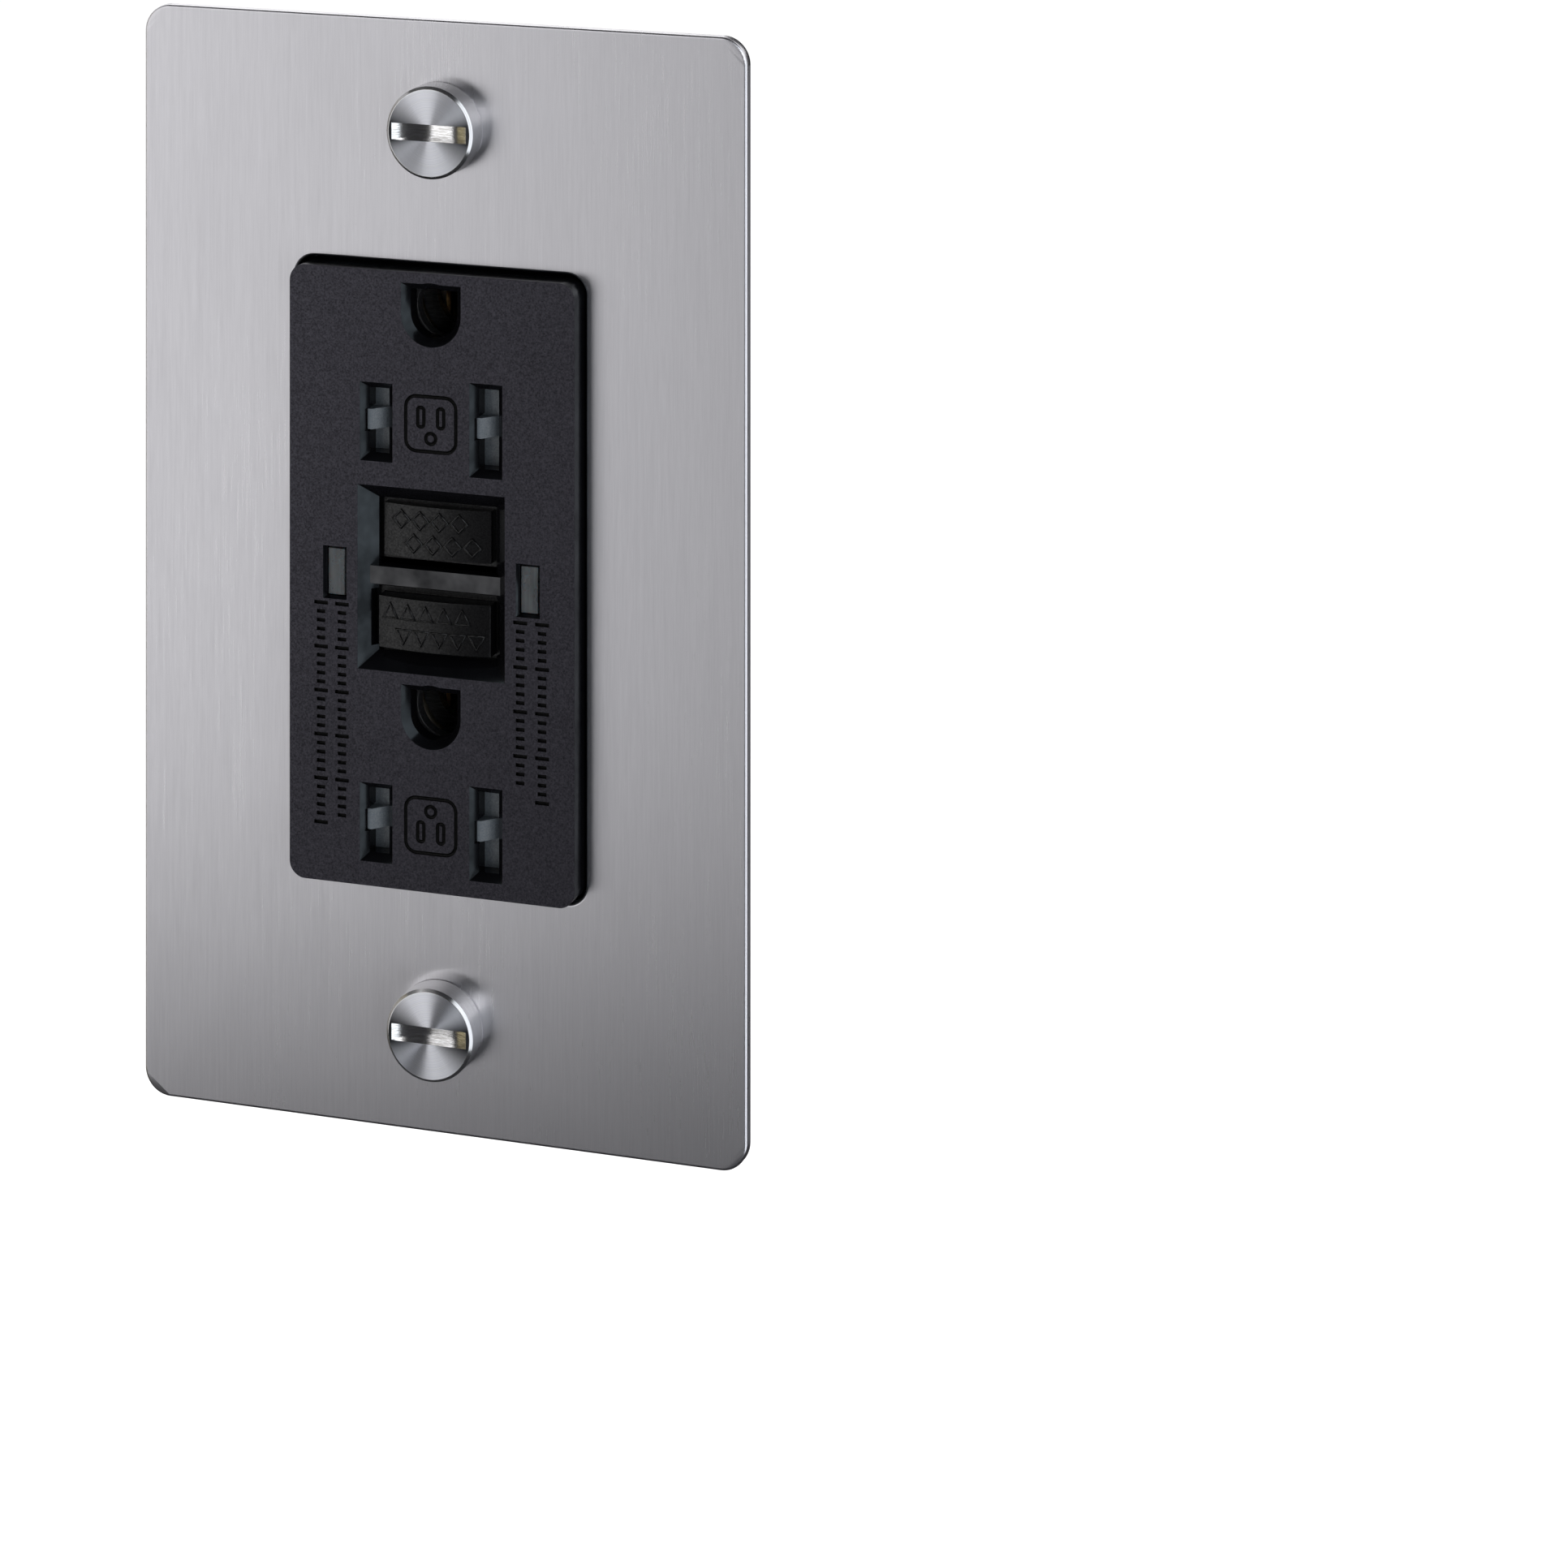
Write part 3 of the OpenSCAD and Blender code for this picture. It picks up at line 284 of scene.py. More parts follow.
M = {
    "plate": brushed_plate(),
    "side": turned_side(),
    "slot": milled_slot(),
    "zinc": plated("zinc_strip", (0.42, 0.43, 0.44), (0.68, 0.69, 0.70), (0.9, 0.9, 0.12)),
    "steel": plated("zinc_screw", (0.50, 0.51, 0.52), (0.74, 0.75, 0.76), (0.4, 0.1, 0.4), (0.34, 0.2)),
    "spring": plated("spring_wire", (0.36, 0.36, 0.37), (0.60, 0.60, 0.61), (0.1, 0.1, 0.6), (0.3, 0.2)),
    "brass": plated("brass_strip", (0.52, 0.33, 0.10), (0.80, 0.56, 0.22), (0.12, 0.9, 0.9), (0.38, 0.24)),
    # brass painted dark: painted shade for the ground contacts inside their holes
    "socket": plated("brass_painted_shade", (0.16, 0.09, 0.03), (0.30, 0.18, 0.07), (0.12, 0.9, 0.9), (0.5, 0.36)),
    "copper": plated("copper_strip", (0.50, 0.22, 0.11), (0.80, 0.42, 0.25), (0.9, 0.9, 0.12), (0.36, 0.24)),
    "silver": plated("silver_contact", (0.62, 0.61, 0.58), (0.84, 0.83, 0.80), (0.3, 0.3, 0.3), (0.3, 0.2)),
    "green": plated("green_screw", (0.02, 0.16, 0.06), (0.06, 0.34, 0.14), (0.4, 0.4, 0.1), (0.42, 0.3)),
    "core": plated("coated_core", (0.06, 0.06, 0.065), (0.13, 0.13, 0.135), (0.5, 0.5, 0.5), (0.6, 0.45)),
    "face": moulded("face_plastic", (0.001, 0.001, 0.0016), (0.0034, 0.0032, 0.0046), 0.37, grain=0.19,
                    depth=0.03, specular=0.59, tint=(0.87, 0.84, 1.0)),
    "button": moulded("button_plastic", (0.001, 0.001, 0.0012), (0.003, 0.003, 0.0034), 0.32, grain=0.2,
                      depth=0.03, specular=0.3),
    "polish": moulded("polished_plastic", (0.0015, 0.0015, 0.002), (0.0025, 0.0025, 0.003), 0.16, grain=5,
                      depth=0.002, specular=0.26, tint=(0.8, 0.92, 1.0)),
    "bar": moulded("satin_plastic", (0.0015, 0.0015, 0.002), (0.0025, 0.0025, 0.003), 0.18, grain=5,
                   depth=0.002, specular=0.46, tint=(0.95, 0.96, 1.0)),
    # the engraved grooves are real; their faces are also painted darker than the face plastic, painted shade
    # in the grooves
    "mark": moulded("engraved_plastic_painted_shade", (0.0005, 0.0005, 0.0005), (0.001, 0.001, 0.001), 0.5, depth=0.004,
                    specular=0.1),
    "shutter": moulded("shutter_plastic", (0.06, 0.071, 0.083), (0.092, 0.107, 0.122), 0.42, grain=0.16,
                       depth=0.01),
    "liner": moulded("liner_plastic", (0.010, 0.010, 0.011), (0.022, 0.022, 0.023), 0.5, grain=0.22,
                     depth=0.03),
    "housing": moulded("housing_plastic", (0.012, 0.012, 0.013), (0.026, 0.026, 0.028), 0.48, grain=0.25,
                       depth=0.035),
    "nylon": moulded("nylon_natural", (0.52, 0.48, 0.39), (0.66, 0.62, 0.52), 0.42, grain=0.3, depth=0.015),
    "bobbin": moulded("nylon_white", (0.62, 0.60, 0.54), (0.76, 0.74, 0.68), 0.4, grain=0.3, depth=0.015),
    "latch": moulded("nylon_red", (0.36, 0.05, 0.03), (0.52, 0.09, 0.05), 0.4, grain=0.3, depth=0.015),
    "epoxy": moulded("epoxy_blue", (0.02, 0.07, 0.30), (0.04, 0.12, 0.42), 0.25, grain=0.6, depth=0.02),
    "chip": moulded("epoxy_black", (0.010, 0.010, 0.010), (0.025, 0.025, 0.025), 0.5, grain=0.1, depth=0.01),
    "amber": moulded("epoxy_amber", (0.55, 0.22, 0.03), (0.72, 0.33, 0.06), 0.28, grain=0.7, depth=0.02),
    "led": moulded("led_body", (0.62, 0.62, 0.55), (0.78, 0.78, 0.70), 0.3, grain=0.4, depth=0.01),
    "lens": frosted_lens(),
    "coil": enamelled_wire(0.2),
    "board": circuit_green(),
}


# ---------- meshes ----------

def new_piece(name, mesh, body, slot, *materials, replaces=()):
    """A shown object made of mesh, riding on a body and standing for CAD nodes."""
    piece = bpy.data.objects.new(name, mesh)
    bpy.context.scene.collection.objects.link(piece)
    for material in materials:
        mesh.materials.append(material)
    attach(piece, body)
    if replaces:
        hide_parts(*replaces)
    return piece


def mesh_of(bm, name):
    bmesh.ops.recalc_face_normals(bm, faces=bm.faces)
    mesh = bpy.data.meshes.new(name)
    bm.to_mesh(mesh)
    bm.free()
    return mesh


def smooth(mesh, degrees=35):
    mesh.shade_smooth()
    mesh.set_sharp_from_angle(angle=math.radians(degrees))


def add_bevel(piece, width, segments, degrees=30):
    """Rounds edges sharper than degrees by width millimetres."""
    bevel = piece.modifiers.new("edges", "BEVEL")
    bevel.width = width * MM
    bevel.segments = segments
    bevel.limit_method = "ANGLE"
    bevel.angle_limit = math.radians(degrees)
    bevel.miter_outer = "MITER_ARC"
    bevel.harden_normals = True


def flatten_normals(piece):
    piece.modifiers.new("normals", "WEIGHTED_NORMAL").keep_sharp = True


def cleaned(node):
    """A copy of a CAD node's mesh, with its flat faces merged."""
    bm = bmesh.new()
    bm.from_mesh(frame["nodes"][node].data)
    bmesh.ops.remove_doubles(bm, verts=bm.verts, dist=MERGE)
    bmesh.ops.dissolve_limit(bm, angle_limit=math.radians(0.6), verts=bm.verts, edges=bm.edges)
    return bm


def settle(piece):
    """Fixes a piece's modifiers into its mesh, and shades its many-sided faces flat."""
    bpy.context.view_layer.update()
    mesh = bpy.data.meshes.new_from_object(piece.evaluated_get(bpy.context.evaluated_depsgraph_get()))
    piece.modifiers.clear()
    piece.data = mesh
    for face in mesh.polygons:
        if face.loop_total > 4:
            face.use_smooth = False


def finished(node, material, width=0.12, segments=2, more=()):
    """Stands for a CAD node with the same shape and softened edges."""
    mesh = mesh_of(cleaned(node), node + "_mesh")
    smooth(mesh)
    body = frame["nodes"][node]["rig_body"]
    slot = next(s["material_slot"] for s in frame["record"]["subparts"] if s["node"] == node)
    piece = new_piece(node + "_shape", mesh, body, slot, M[material], *more, replaces=[node])
    if width:
        add_bevel(piece, width, segments)
    settle(piece)
    return piece


def arc(centre, radius, start, end, steps):
    """Points on an arc, in degrees."""
    angles = [math.radians(start + (end - start) * i / steps) for i in range(steps + 1)]
    return [(centre[0] + radius * math.cos(a), centre[1] + radius * math.sin(a)) for a in angles]


def rounded_loop(x0, x1, z0, z1, r, steps=14):
    """Closed outline of a rectangle with round corners, anticlockwise."""
    corners = ((x1 - r, z0 + r, -90), (x1 - r, z1 - r, 0), (x0 + r, z1 - r, 90), (x0 + r, z0 + r, 180))
    return [p for cx, cz, a in corners for p in arc((cx, cz), r, a, a + 90, steps)]


def circle_loop(x, z, r, steps=48):
    return arc((x, z), r, 0, 360 - 360 / steps, steps - 1)


def slab(loops, y0, y1, edge, steps=4):
    """A sheet between y0 (front) and y1, outlined by the first loop with the others as holes.
    Its rims are rounded by edge."""
    bm = bmesh.new()
    rims = {0: [], 1: []}
    quarter = [math.pi / 2 * i / steps for i in range(steps + 1)]
    rows = [(edge * (1 - math.sin(a)), y0 + edge * (1 - math.cos(a))) for a in quarter]
    rows += [(edge * (1 - math.cos(a)), y1 - edge * (1 - math.sin(a))) for a in quarter]
    for index, loop in enumerate(loops):
        side = 1 if index == 0 else -1
        count = len(loop)
        normals = []
        for i in range(count):
            a, b = Vector(loop[i - 1]), Vector(loop[(i + 1) % count])
            along = (b - a).normalized()
            normals.append(Vector((-along.y, along.x)) * side)
        rings = []
        for inset, y in rows:
            rings.append([bm.verts.new((p[0] + n.x * inset, y, p[1] + n.y * inset))
                          for p, n in zip(loop, normals)])
        for lower, upper in zip(rings, rings[1:]):
            for i in range(count):
                bm.faces.new((lower[i - 1], lower[i], upper[i], upper[i - 1]))
        rims[0].append(rings[0])
        rims[1].append(rings[-1])
    for rim in rims.values():
        edges = [bm.edges.get((ring[i - 1], ring[i])) for ring in rim for i in range(len(ring))]
        bmesh.ops.triangle_fill(bm, edges=edges, use_beauty=True, use_dissolve=False)
    return bm


def lathe(profile, centre, sides=96):
    """Turns (radius, y) points about the Y line through centre = (x, z)."""
    bm = bmesh.new()
    rings = []
    for radius, y in profile:
        if radius == 0:
            rings.append([bm.verts.new((centre[0], y, centre[1]))])
            continue
        rings.append([bm.verts.new((centre[0] + radius * math.cos(2 * math.pi * i / sides), y,
                                    centre[1] + radius * math.sin(2 * math.pi * i / sides)))
                      for i in range(sides)])
    for lower, upper in zip(rings, rings[1:]):
        for i in range(sides):
            ring = [lower[(i - 1) % len(lower)], lower[i % len(lower)],
                    upper[i % len(upper)], upper[(i - 1) % len(upper)]]
            corners = list(dict.fromkeys(ring))
            if len(corners) > 2:
                bm.faces.new(corners)
    return bm


def thread(bm, centre, y0, y1, root, crest, pitch, sides=40, rows_per_turn=8):
    """Adds a screw thread along Y, closed at both ends."""
    rows = max(2, round((y1 - y0) / pitch * rows_per_turn))
    rings = []
    for k in range(rows + 1):
        y = y0 + (y1 - y0) * k / rows
        fade = min(1, k / 6, (rows - k) / 6)
        ring = []
        for i in range(sides):
            turn = (y - y0) / pitch - i / sides
            wave = abs(2 * (turn % 1) - 1)
            r = root + (crest - root) * fade * min(1, max(0, 1.5 * wave - 0.2))
            a = 2 * math.pi * i / sides
            ring.append(bm.verts.new((centre[0] + r * math.cos(a), y, centre[1] + r * math.sin(a))))
        rings.append(ring)
    for lower, upper in zip(rings, rings[1:]):
        for i in range(sides):
            bm.faces.new((lower[i - 1], lower[i], upper[i], upper[i - 1]))
    bm.faces.new(rings[0])
    bm.faces.new(rings[-1])


def tube(bm, points, radius, sides=8):
    """Adds a closed round bead along points, which lie near a plane across Y."""
    count = len(points)
    rings = []
    for i in range(count):
        along = (Vector(points[(i + 1) % count]) - Vector(points[i - 1])).normalized()
        across = along.cross(Vector((0, 1, 0))).normalized()
        up = across.cross(along)
        rings.append([bm.verts.new(Vector(points[i]) + radius * (across * math.cos(a) + up * math.sin(a)))
                      for a in (2 * math.pi * k / sides for k in range(sides))])
    for i in range(count):
        a, b = rings[i], rings[(i + 1) % count]
        for k in range(sides):
            bm.faces.new((a[k - 1], a[k], b[k], b[k - 1]))


def cut(piece, cutter):
    """Takes the cutter's shape out of a piece for good."""
    carve = piece.modifiers.new("cut", "BOOLEAN")
    carve.operation = "DIFFERENCE"
    carve.solver = "EXACT"
    carve.object = cutter
    settle(piece)
    bpy.data.objects.remove(cutter)


def cutter_of(bm, name):
    made = bpy.data.objects.new(name, mesh_of(bm, name))
    bpy.context.scene.collection.objects.link(made)
    made.hide_render = True
    return made


# ---------- wall plate ----------

plate_lo, plate_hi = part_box("face_plate")
cover_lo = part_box("front_cover")[0]
OPENING = (33.7 * MM, 67.3 * MM)
OPENING_CORNER = 2.2 * MM
PLATE_CORNER = 3 * MM
PLATE_HOLE_R = 2 * MM
SCREW_Z = (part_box("coin_screw_top")[0].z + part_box("coin_screw_top")[1].z) / 2


def make_plate():
    half_w, half_h = OPENING[0] / 2, OPENING[1] / 2
    loops = [
        rounded_loop(plate_lo.x, plate_hi.x, plate_lo.z, plate_hi.z, PLATE_CORNER, 20),
        rounded_loop(-half_w, half_w, -half_h, half_h, OPENING_CORNER),
        circle_loop(0, SCREW_Z, PLATE_HOLE_R),
        circle_loop(0, -SCREW_Z, PLATE_HOLE_R),
    ]
    mesh = mesh_of(slab(loops, plate_lo.y, plate_hi.y, 0.32 * MM, 5), "face_plate_mesh")
    mesh.shade_smooth()
    piece = new_piece("face_plate_sheet", mesh, "device", "brushed_plate", M["plate"],
                      replaces=["face_plate"])
    flatten_normals(piece)


make_plate()
finished("plate_liner", "liner", 0.3, 3)


# ---------- coin screws ----------

# a coin slot's length, depth in the middle and width; its floor is hollow, as a round cutter leaves it
SLOT = Vector((8.6, 1.3, 1.8)) * MM
CUTTER_R = (SLOT.x ** 2 / 4 + SLOT.y ** 2) / (2 * SLOT.y)


def slot_floor(x, front):
    """Level of the slot's hollow floor at x."""
    return front + SLOT.y - CUTTER_R + math.sqrt(CUTTER_R ** 2 - x ** 2)


def round_cutter(front, z, sides=360):
    """The disc that cuts a coin slot."""
    bm = bmesh.new()
    bmesh.ops.create_cone(bm, cap_ends=True, segments=sides, radius1=CUTTER_R, radius2=CUTTER_R, depth=SLOT.z)
    bmesh.ops.translate(bm, vec=(0, front + SLOT.y - CUTTER_R, z), verts=bm.verts)
    return bm


def coin_screw(node):
    """Slotted head with a faced front, a polished chamfer and a threaded shank."""
    lo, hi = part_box(node)
    z = (lo.z + hi.z) / 2
    r = (hi.x - lo.x) / 2
    back = plate_lo.y
    chamfer = 0.3 * MM
    soft = 0.05 * MM
    shank = 1.55 * MM
    profile = [(0, lo.y), (r - chamfer - soft, lo.y), (r - chamfer, lo.y + 0.2 * soft)]
    profile += [(r - 0.3 * soft, lo.y + chamfer - 0.3 * soft), (r, lo.y + chamfer + soft)]
    profile += [(r, back - 0.12 * MM), (r - 0.1 * MM, back), (shank, back), (shank, hi.y - 0.6 * MM)]
    profile += [(shank - 0.6 * MM, hi.y), (0, hi.y)]
    mesh = mesh_of(lathe(profile, (0, z), 160), node + "_mesh")
    piece = new_piece(node + "_turned", mesh, node, "coin_screw", replaces=[node])
    cut(piece, cutter_of(round_cutter(lo.y, z), "slot"))
    mesh = piece.data
    for material in (M["side"], turned_face(node + "_face", (0, lo.y, z)), M["slot"]):
        mesh.materials.append(material)
    for face in mesh.polygons:
        c = face.center
        between_walls = abs(c.z - z) < SLOT.z / 2 + 1e-6 and abs(c.x) < SLOT.x / 2
        if face.normal.y < -0.999 and c.y < lo.y + 0.01 * MM:
            face.material_index = 1
        elif between_walls and c.y < slot_floor(c.x, lo.y) + 0.02 * MM:
            face.material_index = 2
    smooth(mesh, 28)
    add_bevel(piece, 0.04, 2, 60)
    flatten_normals(piece)
    bm = bmesh.new()
    thread(bm, (0, z), back + 1.5 * MM, hi.y - 0.5 * MM, shank, 1.70 * MM, THREAD_PITCH)
    ridge = mesh_of(bm, node + "_thread_mesh")
    smooth(ridge, 60)
    new_piece(node + "_thread", ridge, node, "coin_screw", M["side"])


for screw in ("coin_screw_top", "coin_screw_bottom"):
    coin_screw(screw)


# ---------- device front ----------

def outlet_sign(bm, z, turn):
    """Grooves for a small socket sign: a rounded square, two blades and a pin. turn is 1 or -1."""
    loops = [rounded_loop(-2.9 * MM, 2.9 * MM, -2.95 * MM, 2.95 * MM, 1.2 * MM, 6)]
    for x in (-1.15, 1.15):
        loops.append(rounded_loop((x - 0.36) * MM, (x + 0.36) * MM, -0.35 * MM, 1.75 * MM, 0.3 * MM, 4))
    loops.append(circle_loop(0, -1.55 * MM, 0.58 * MM, 20))
    for loop in loops:
        tube(bm, [Vector((x, cover_lo.y, z + turn * h)) for x, h in loop], 0.2 * MM, 8)


def scale_grooves(bm, x, z0, z1):
    """A column of short engraved lines beside the buttons, every fifth one longer."""
    pitch = 0.95
    for i in range(int((z0 - z1) / pitch)):
        z = (z0 - pitch * i) * MM
        reach = (0.8 if i % 5 == 0 else 0.5) * MM
        across = Vector((0, 0.3, 0.2)) * MM
        lo = Vector((x * MM - reach, cover_lo.y - across.y, z - across.z))
        hi = Vector((x * MM + reach, cover_lo.y + across.y, z + across.z))
        made = bmesh.ops.create_cube(bm, size=1)["verts"]
        bmesh.ops.scale(bm, vec=hi - lo, verts=made)
        bmesh.ops.translate(bm, vec=(lo + hi) / 2, verts=made)


# columns of lines: x, top z and bottom z, in millimetres
SCALES = ((-12.8, -3.2, -28.3), (-10.35, -3.2, -27.4), (10.3, -3.3, -22.0), (12.8, -3.3, -23.7))
# socket signs: height, and 1 for upright or -1 for upside down
SIGNS = ((17.05 * MM, 1), (-26.1 * MM, -1))


def make_cover():
    """Grained front, polished openings and engraved signs."""
    piece = finished("front_cover", "face", 0.1, 2, more=(M["polish"], M["mark"], M["bar"]))
    bm = bmesh.new()
    for z, turn in SIGNS:
        outlet_sign(bm, z, turn)
    for x, z0, z1 in SCALES:
        scale_grooves(bm, x, z0, z1)
    cut(piece, cutter_of(bm, "grooves"))
    for face in piece.data.polygons:
        c = face.center
        sunk = c.y - cover_lo.y
        faces_room = face.normal.y < -0.98
        in_sign = any(abs(c.x) < 3.2 * MM and abs(c.z - z) < 3.2 * MM for z, turn in SIGNS)
        in_scale = any(abs(c.x - x * MM) < 0.85 * MM and z1 * MM < c.z < z0 * MM + 0.2 * MM
                       for x, z0, z1 in SCALES)
        if faces_room and sunk < 0.004 * MM:
            face.material_index = 0
            face.use_smooth = False
        # groove faces of the signs and scales take the darker mark colour: painted shade in real grooves
        elif (in_sign or in_scale) and sunk < 0.32 * MM:
            face.material_index = 2
        elif faces_room and abs(c.z) < 0.97 * MM and sunk < 1.3 * MM:
            face.material_index = 3
        else:
            face.material_index = 1


make_cover()


def pips(name, body, rows, y_at, shape, size, slot):
    """Raised outlines on a button; rows are (z, first x, step, count)."""
    bm = bmesh.new()
    for z, x0, step, count in rows:
        for i in range(count):
            cx = (x0 + step * i) * MM
            loop = shape(cx, z * MM, size)
            tube(bm, [(x, y_at(x), h) for x, h in loop], 0.19 * MM, 8)
    mesh = mesh_of(bm, name + "_mesh")
    mesh.shade_smooth()
    new_piece(name, mesh, body, slot, M["button"])


def crown(node, radius=34 * MM):
    """Gives the level of a button's crowned front at x."""
    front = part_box(node)[0].y
    return lambda x: front + radius - math.sqrt(radius ** 2 - x ** 2)


def diamond(cx, cz, size):
    return [(cx - size, cz), (cx, cz - size), (cx + size, cz), (cx, cz + size)]


def triangle(cx, cz, size):
    """Points up in the upper row and down in the lower row."""
    way = 1 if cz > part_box("reset_button")[0].z + 2.8 * MM else -1
    return [(cx - size, cz - way * 0.8 * size), (cx + size, cz - way * 0.8 * size), (cx, cz + way * size)]


finished("test_button", "button", 0.3, 4)
finished("reset_button", "button", 0.3, 4)
test_z, reset_z = 4.9, -4.9  # middles of the buttons, in millimetres
pips("test_pips", "test_button", [(test_z + 1.25, -4.1, 2.25, 4), (test_z - 1.25, -2.6, 2.25, 4)],
     crown("test_button"), diamond, 0.95 * MM, "button_plastic")
pips("reset_pips", "reset_button", [(reset_z + 1.25, -5.0, 2.1, 5), (reset_z - 1.25, -3.4, 2.1, 5)],
     crown("reset_button"), triangle, 0.85 * MM, "button_plastic")

for side in ("left", "right"):
    finished("light_pipe_" + side, "lens", 0.12, 3)
for place in ("top", "bottom"):
    finished("shutter_" + place, "shutter", 0)


# ---------- strap, screws and shells ----------

finished("shutter_carrier", "housing", 0.1)
finished("mounting_strap", "zinc", 0.12, 2)
for place in ("top", "bottom"):
    # the ground contacts take the dark brass, painted shade inside the ground holes
    finished("ground_contact_" + place, "socket", 0.06)
finished("ground_screw", "green", 0.25, 3)
finished("contact_carrier", "nylon", 0.1)
finished("rear_housing", "housing", 0.25, 3)
finished("assembly_screws", "steel", 0.05)
for place in ("top", "bottom"):
    finished("box_screw_" + place, "steel", 0.12)
    lo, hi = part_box("box_screw_" + place)
    bm = bmesh.new()
    thread(bm, (0, (lo.z + hi.z) / 2), 1.0 * MM, hi.y - 1.2 * MM, 1.7 * MM, 1.95 * MM, THREAD_PITCH)
    ridge = mesh_of(bm, "box_screw_thread_mesh")
    smooth(ridge, 60)
    new_piece("box_screw_" + place + "_thread", ridge, "box_screw_" + place, "steel_screw", M["steel"])


# ---------- inside ----------

INSIDE = {
    "load_hot_bar": "brass", "load_neutral_bar": "brass", "line_hot_terminal": "brass",
    "line_neutral_terminal": "zinc", "load_hot_clamp": "zinc", "load_neutral_clamp": "zinc",
    "line_hot_clamp": "zinc", "line_neutral_clamp": "zinc", "load_hot_screw": "brass",
    "load_neutral_screw": "steel", "line_hot_screw": "brass", "line_neutral_screw": "steel",
    "hot_contact_arm": "copper", "neutral_contact_arm": "copper", "hot_lead": "copper",
    "neutral_lead": "copper", "fixed_contacts": "silver", "reset_pin": "steel", "test_leaf": "brass",
    "test_pin": "steel", "latch_block": "latch", "latch_plate": "zinc", "plunger": "steel",
    "solenoid_bobbin": "bobbin", "solenoid_winding": "coil", "solenoid_frame": "zinc",
    "circuit_board": "board", "transformer_cores": "core", "transformer_windings": "coil",
    "transformer_boat": "chip", "indicator_leds": "led", "surge_disc": "epoxy", "power_devices": "chip",
    "small_parts": "amber",
}
for node, material in INSIDE.items():
    finished(node, material, 0.06)


def coil_spring(name, node, keep_face=lambda z: True):
    """The part of a spring node that keep_face picks by height."""
    bm = bmesh.new()
    bm.from_mesh(frame["nodes"][node].data)
    bmesh.ops.remove_doubles(bm, verts=bm.verts, dist=MERGE)
    drop = [f for f in bm.faces if not keep_face(f.calc_center_median().z)]
    bmesh.ops.delete(bm, geom=drop, context="FACES")
    mesh = mesh_of(bm, name + "_mesh")
    smooth(mesh)
    piece = new_piece(name, mesh, frame["nodes"][node]["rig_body"], "spring_steel", M["spring"],
                      replaces=[node])
    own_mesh(piece)


coil_spring("reset_spring_coil", "reset_spring")
coil_spring("plunger_spring_coil", "plunger_spring")
coil_spring("shutter_spring_upper", "shutter_springs",
            lambda z: z > 0)
coil_spring("shutter_spring_lower", "shutter_springs",
            lambda z: z < 0)


# ---------- stage, light and camera ----------

def emitter(name, location, width, height, radiance, colour=(1, 1, 1)):
    """A softbox facing the object."""
    light = bpy.data.lights.new(name, "AREA")
    light.shape = "RECTANGLE"
    light.size, light.size_y = width, height
    light.energy = radiance * math.pi * width * height
    light.color = colour
    made = bpy.data.objects.new(name, light)
    made.location = location
    made.rotation_euler = (-location).to_track_quat("-Z", "Y").to_euler()
    made.visible_camera = False
    bpy.context.scene.collection.objects.link(made)


def around(distance, azimuth, elevation):
    """A place seen from the origin: azimuth 0 is towards the room (-Y), positive to the left (-X)."""
    a, e = math.radians(azimuth), math.radians(elevation)
    return distance * Vector((-math.sin(a) * math.cos(e), -math.cos(a) * math.cos(e), math.sin(e)))


def make_world():
    world = bpy.data.worlds.new("studio")
    bpy.context.scene.world = world
    world.use_nodes = True
    tree = world.node_tree
    back = tree.nodes["Background"]
    rays = tree.nodes.new("ShaderNodeLightPath")
    mix = tree.nodes.new("ShaderNodeMix")
    mix.data_type = "RGBA"
    mix.inputs["A"].default_value = (0.04, 0.04, 0.043, 1)
    mix.inputs["B"].default_value = (1, 1, 1, 1)
    tree.links.new(rays.outputs["Is Camera Ray"], mix.inputs["Factor"])
    tree.links.new(mix.outputs["Result"], back.inputs["Color"])


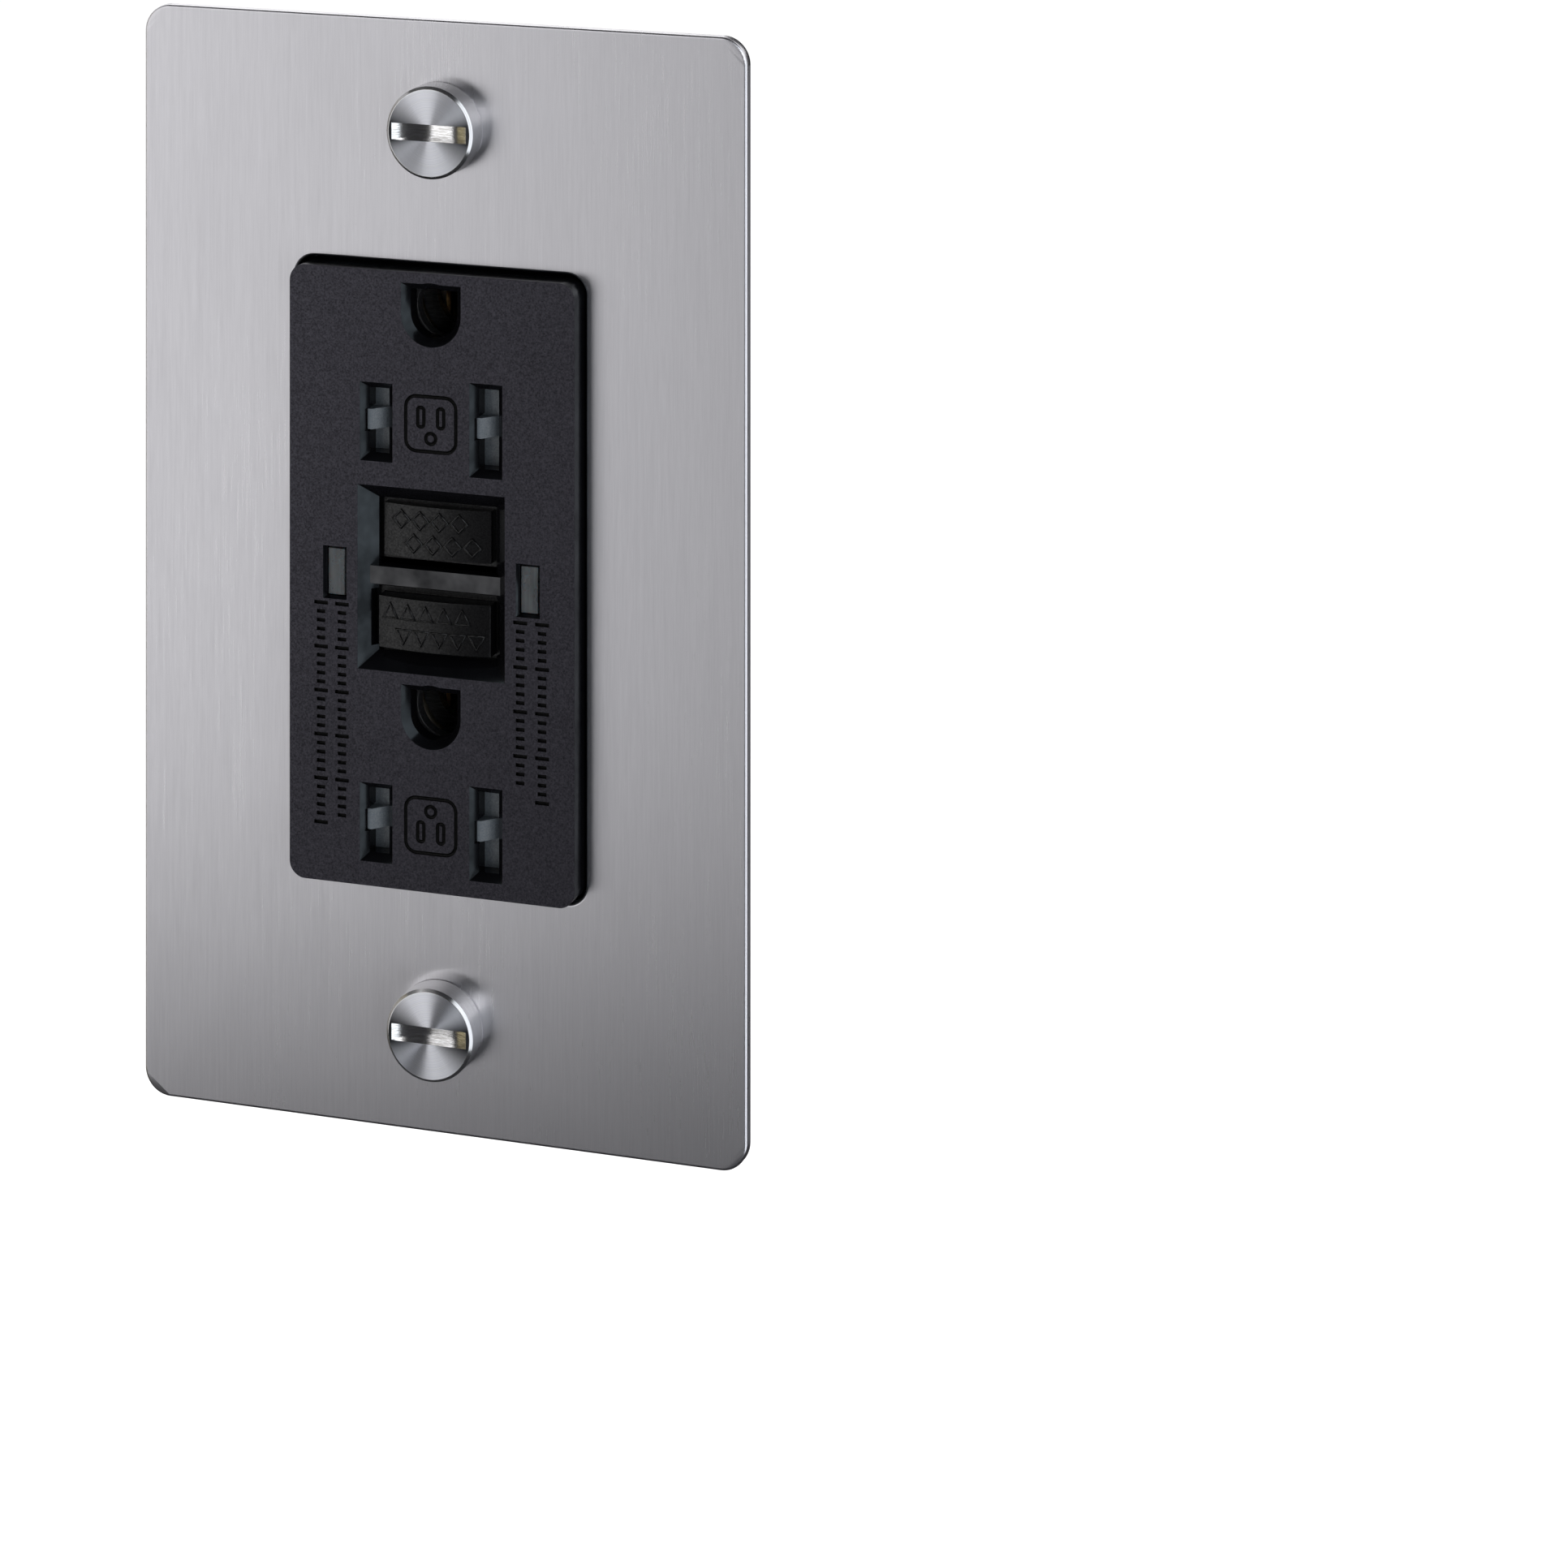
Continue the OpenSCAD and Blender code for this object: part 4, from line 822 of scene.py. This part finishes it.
def make_floor():
    bm = bmesh.new()
    bmesh.ops.create_grid(bm, x_segments=2, y_segments=2, size=6)
    bmesh.ops.translate(bm, vec=(0, 0, -0.6), verts=bm.verts)
    floor = bpy.data.objects.new("floor", mesh_of(bm, "floor_mesh"))
    bpy.context.scene.collection.objects.link(floor)
    f = Finish("pale_floor", Roughness=0.9, Specular_IOR_Level=0.1)
    f.set(f.shader, Base_Color=f.ramp(f.noise((60, 60, 60)), (0.86, 0.86, 0.86), (0.9, 0.9, 0.9)))
    f.set(f.shader, Emission_Color=(1, 1, 1, 1), Emission_Strength=1.0)
    floor.data.materials.append(f.material)
    floor.visible_glossy = False


def make_camera():
    """Rising-front camera: level, turned to the left, with the picture shifted down to the object."""
    data = bpy.data.cameras.new("camera")
    camera = bpy.data.objects.new("camera", data)
    bpy.context.scene.collection.objects.link(camera)
    camera.location = Vector((202.53, -492.97, 151.99)) * MM + Vector((0, plate_lo.y, 0))
    camera.rotation_euler = (math.pi / 2, 0, math.radians(18.338))
    data.sensor_width = 36
    data.lens = 113.18
    data.clip_start = 0.01
    bpy.context.scene.camera = camera
    # the shift holds only from this place, so that other views stay centred
    driver = data.driver_add("shift_y").driver
    variable = driver.variables.new()
    variable.name = "place"
    variable.type = "TRANSFORMS"
    variable.targets[0].id = camera
    variable.targets[0].transform_type = "LOC_X"
    driver.expression = f"-1.0308 if abs(place - {camera.location.x:.5f}) < 0.0001 else 0.0"


make_world()
make_floor()
emitter("strip", around(1.2, 38, 14), 0.9, 1.77, 1.36)
emitter("right", around(1.0, -60, 6), 1.08, 1.9, 1.75, (0.9, 0.95, 1.0))
emitter("glint", around(1.1, -32, 14), 0.18, 0.5, 3.6)
emitter("warm", around(1.2, 78, -5), 0.4, 1.4, 0.3, (1.0, 0.85, 0.45))
emitter("side_left", around(1.2, 108, 8), 0.8, 1.4, 0.9)
emitter("side_right", around(1.2, -108, 8), 0.8, 1.4, 0.9)
emitter("back_left", around(1.2, 145, 30), 0.9, 0.9, 1.6)
emitter("back_right", around(1.2, -140, 35), 0.9, 0.9, 1.2)
make_camera()
bpy.context.scene.view_settings.view_transform = "Standard"
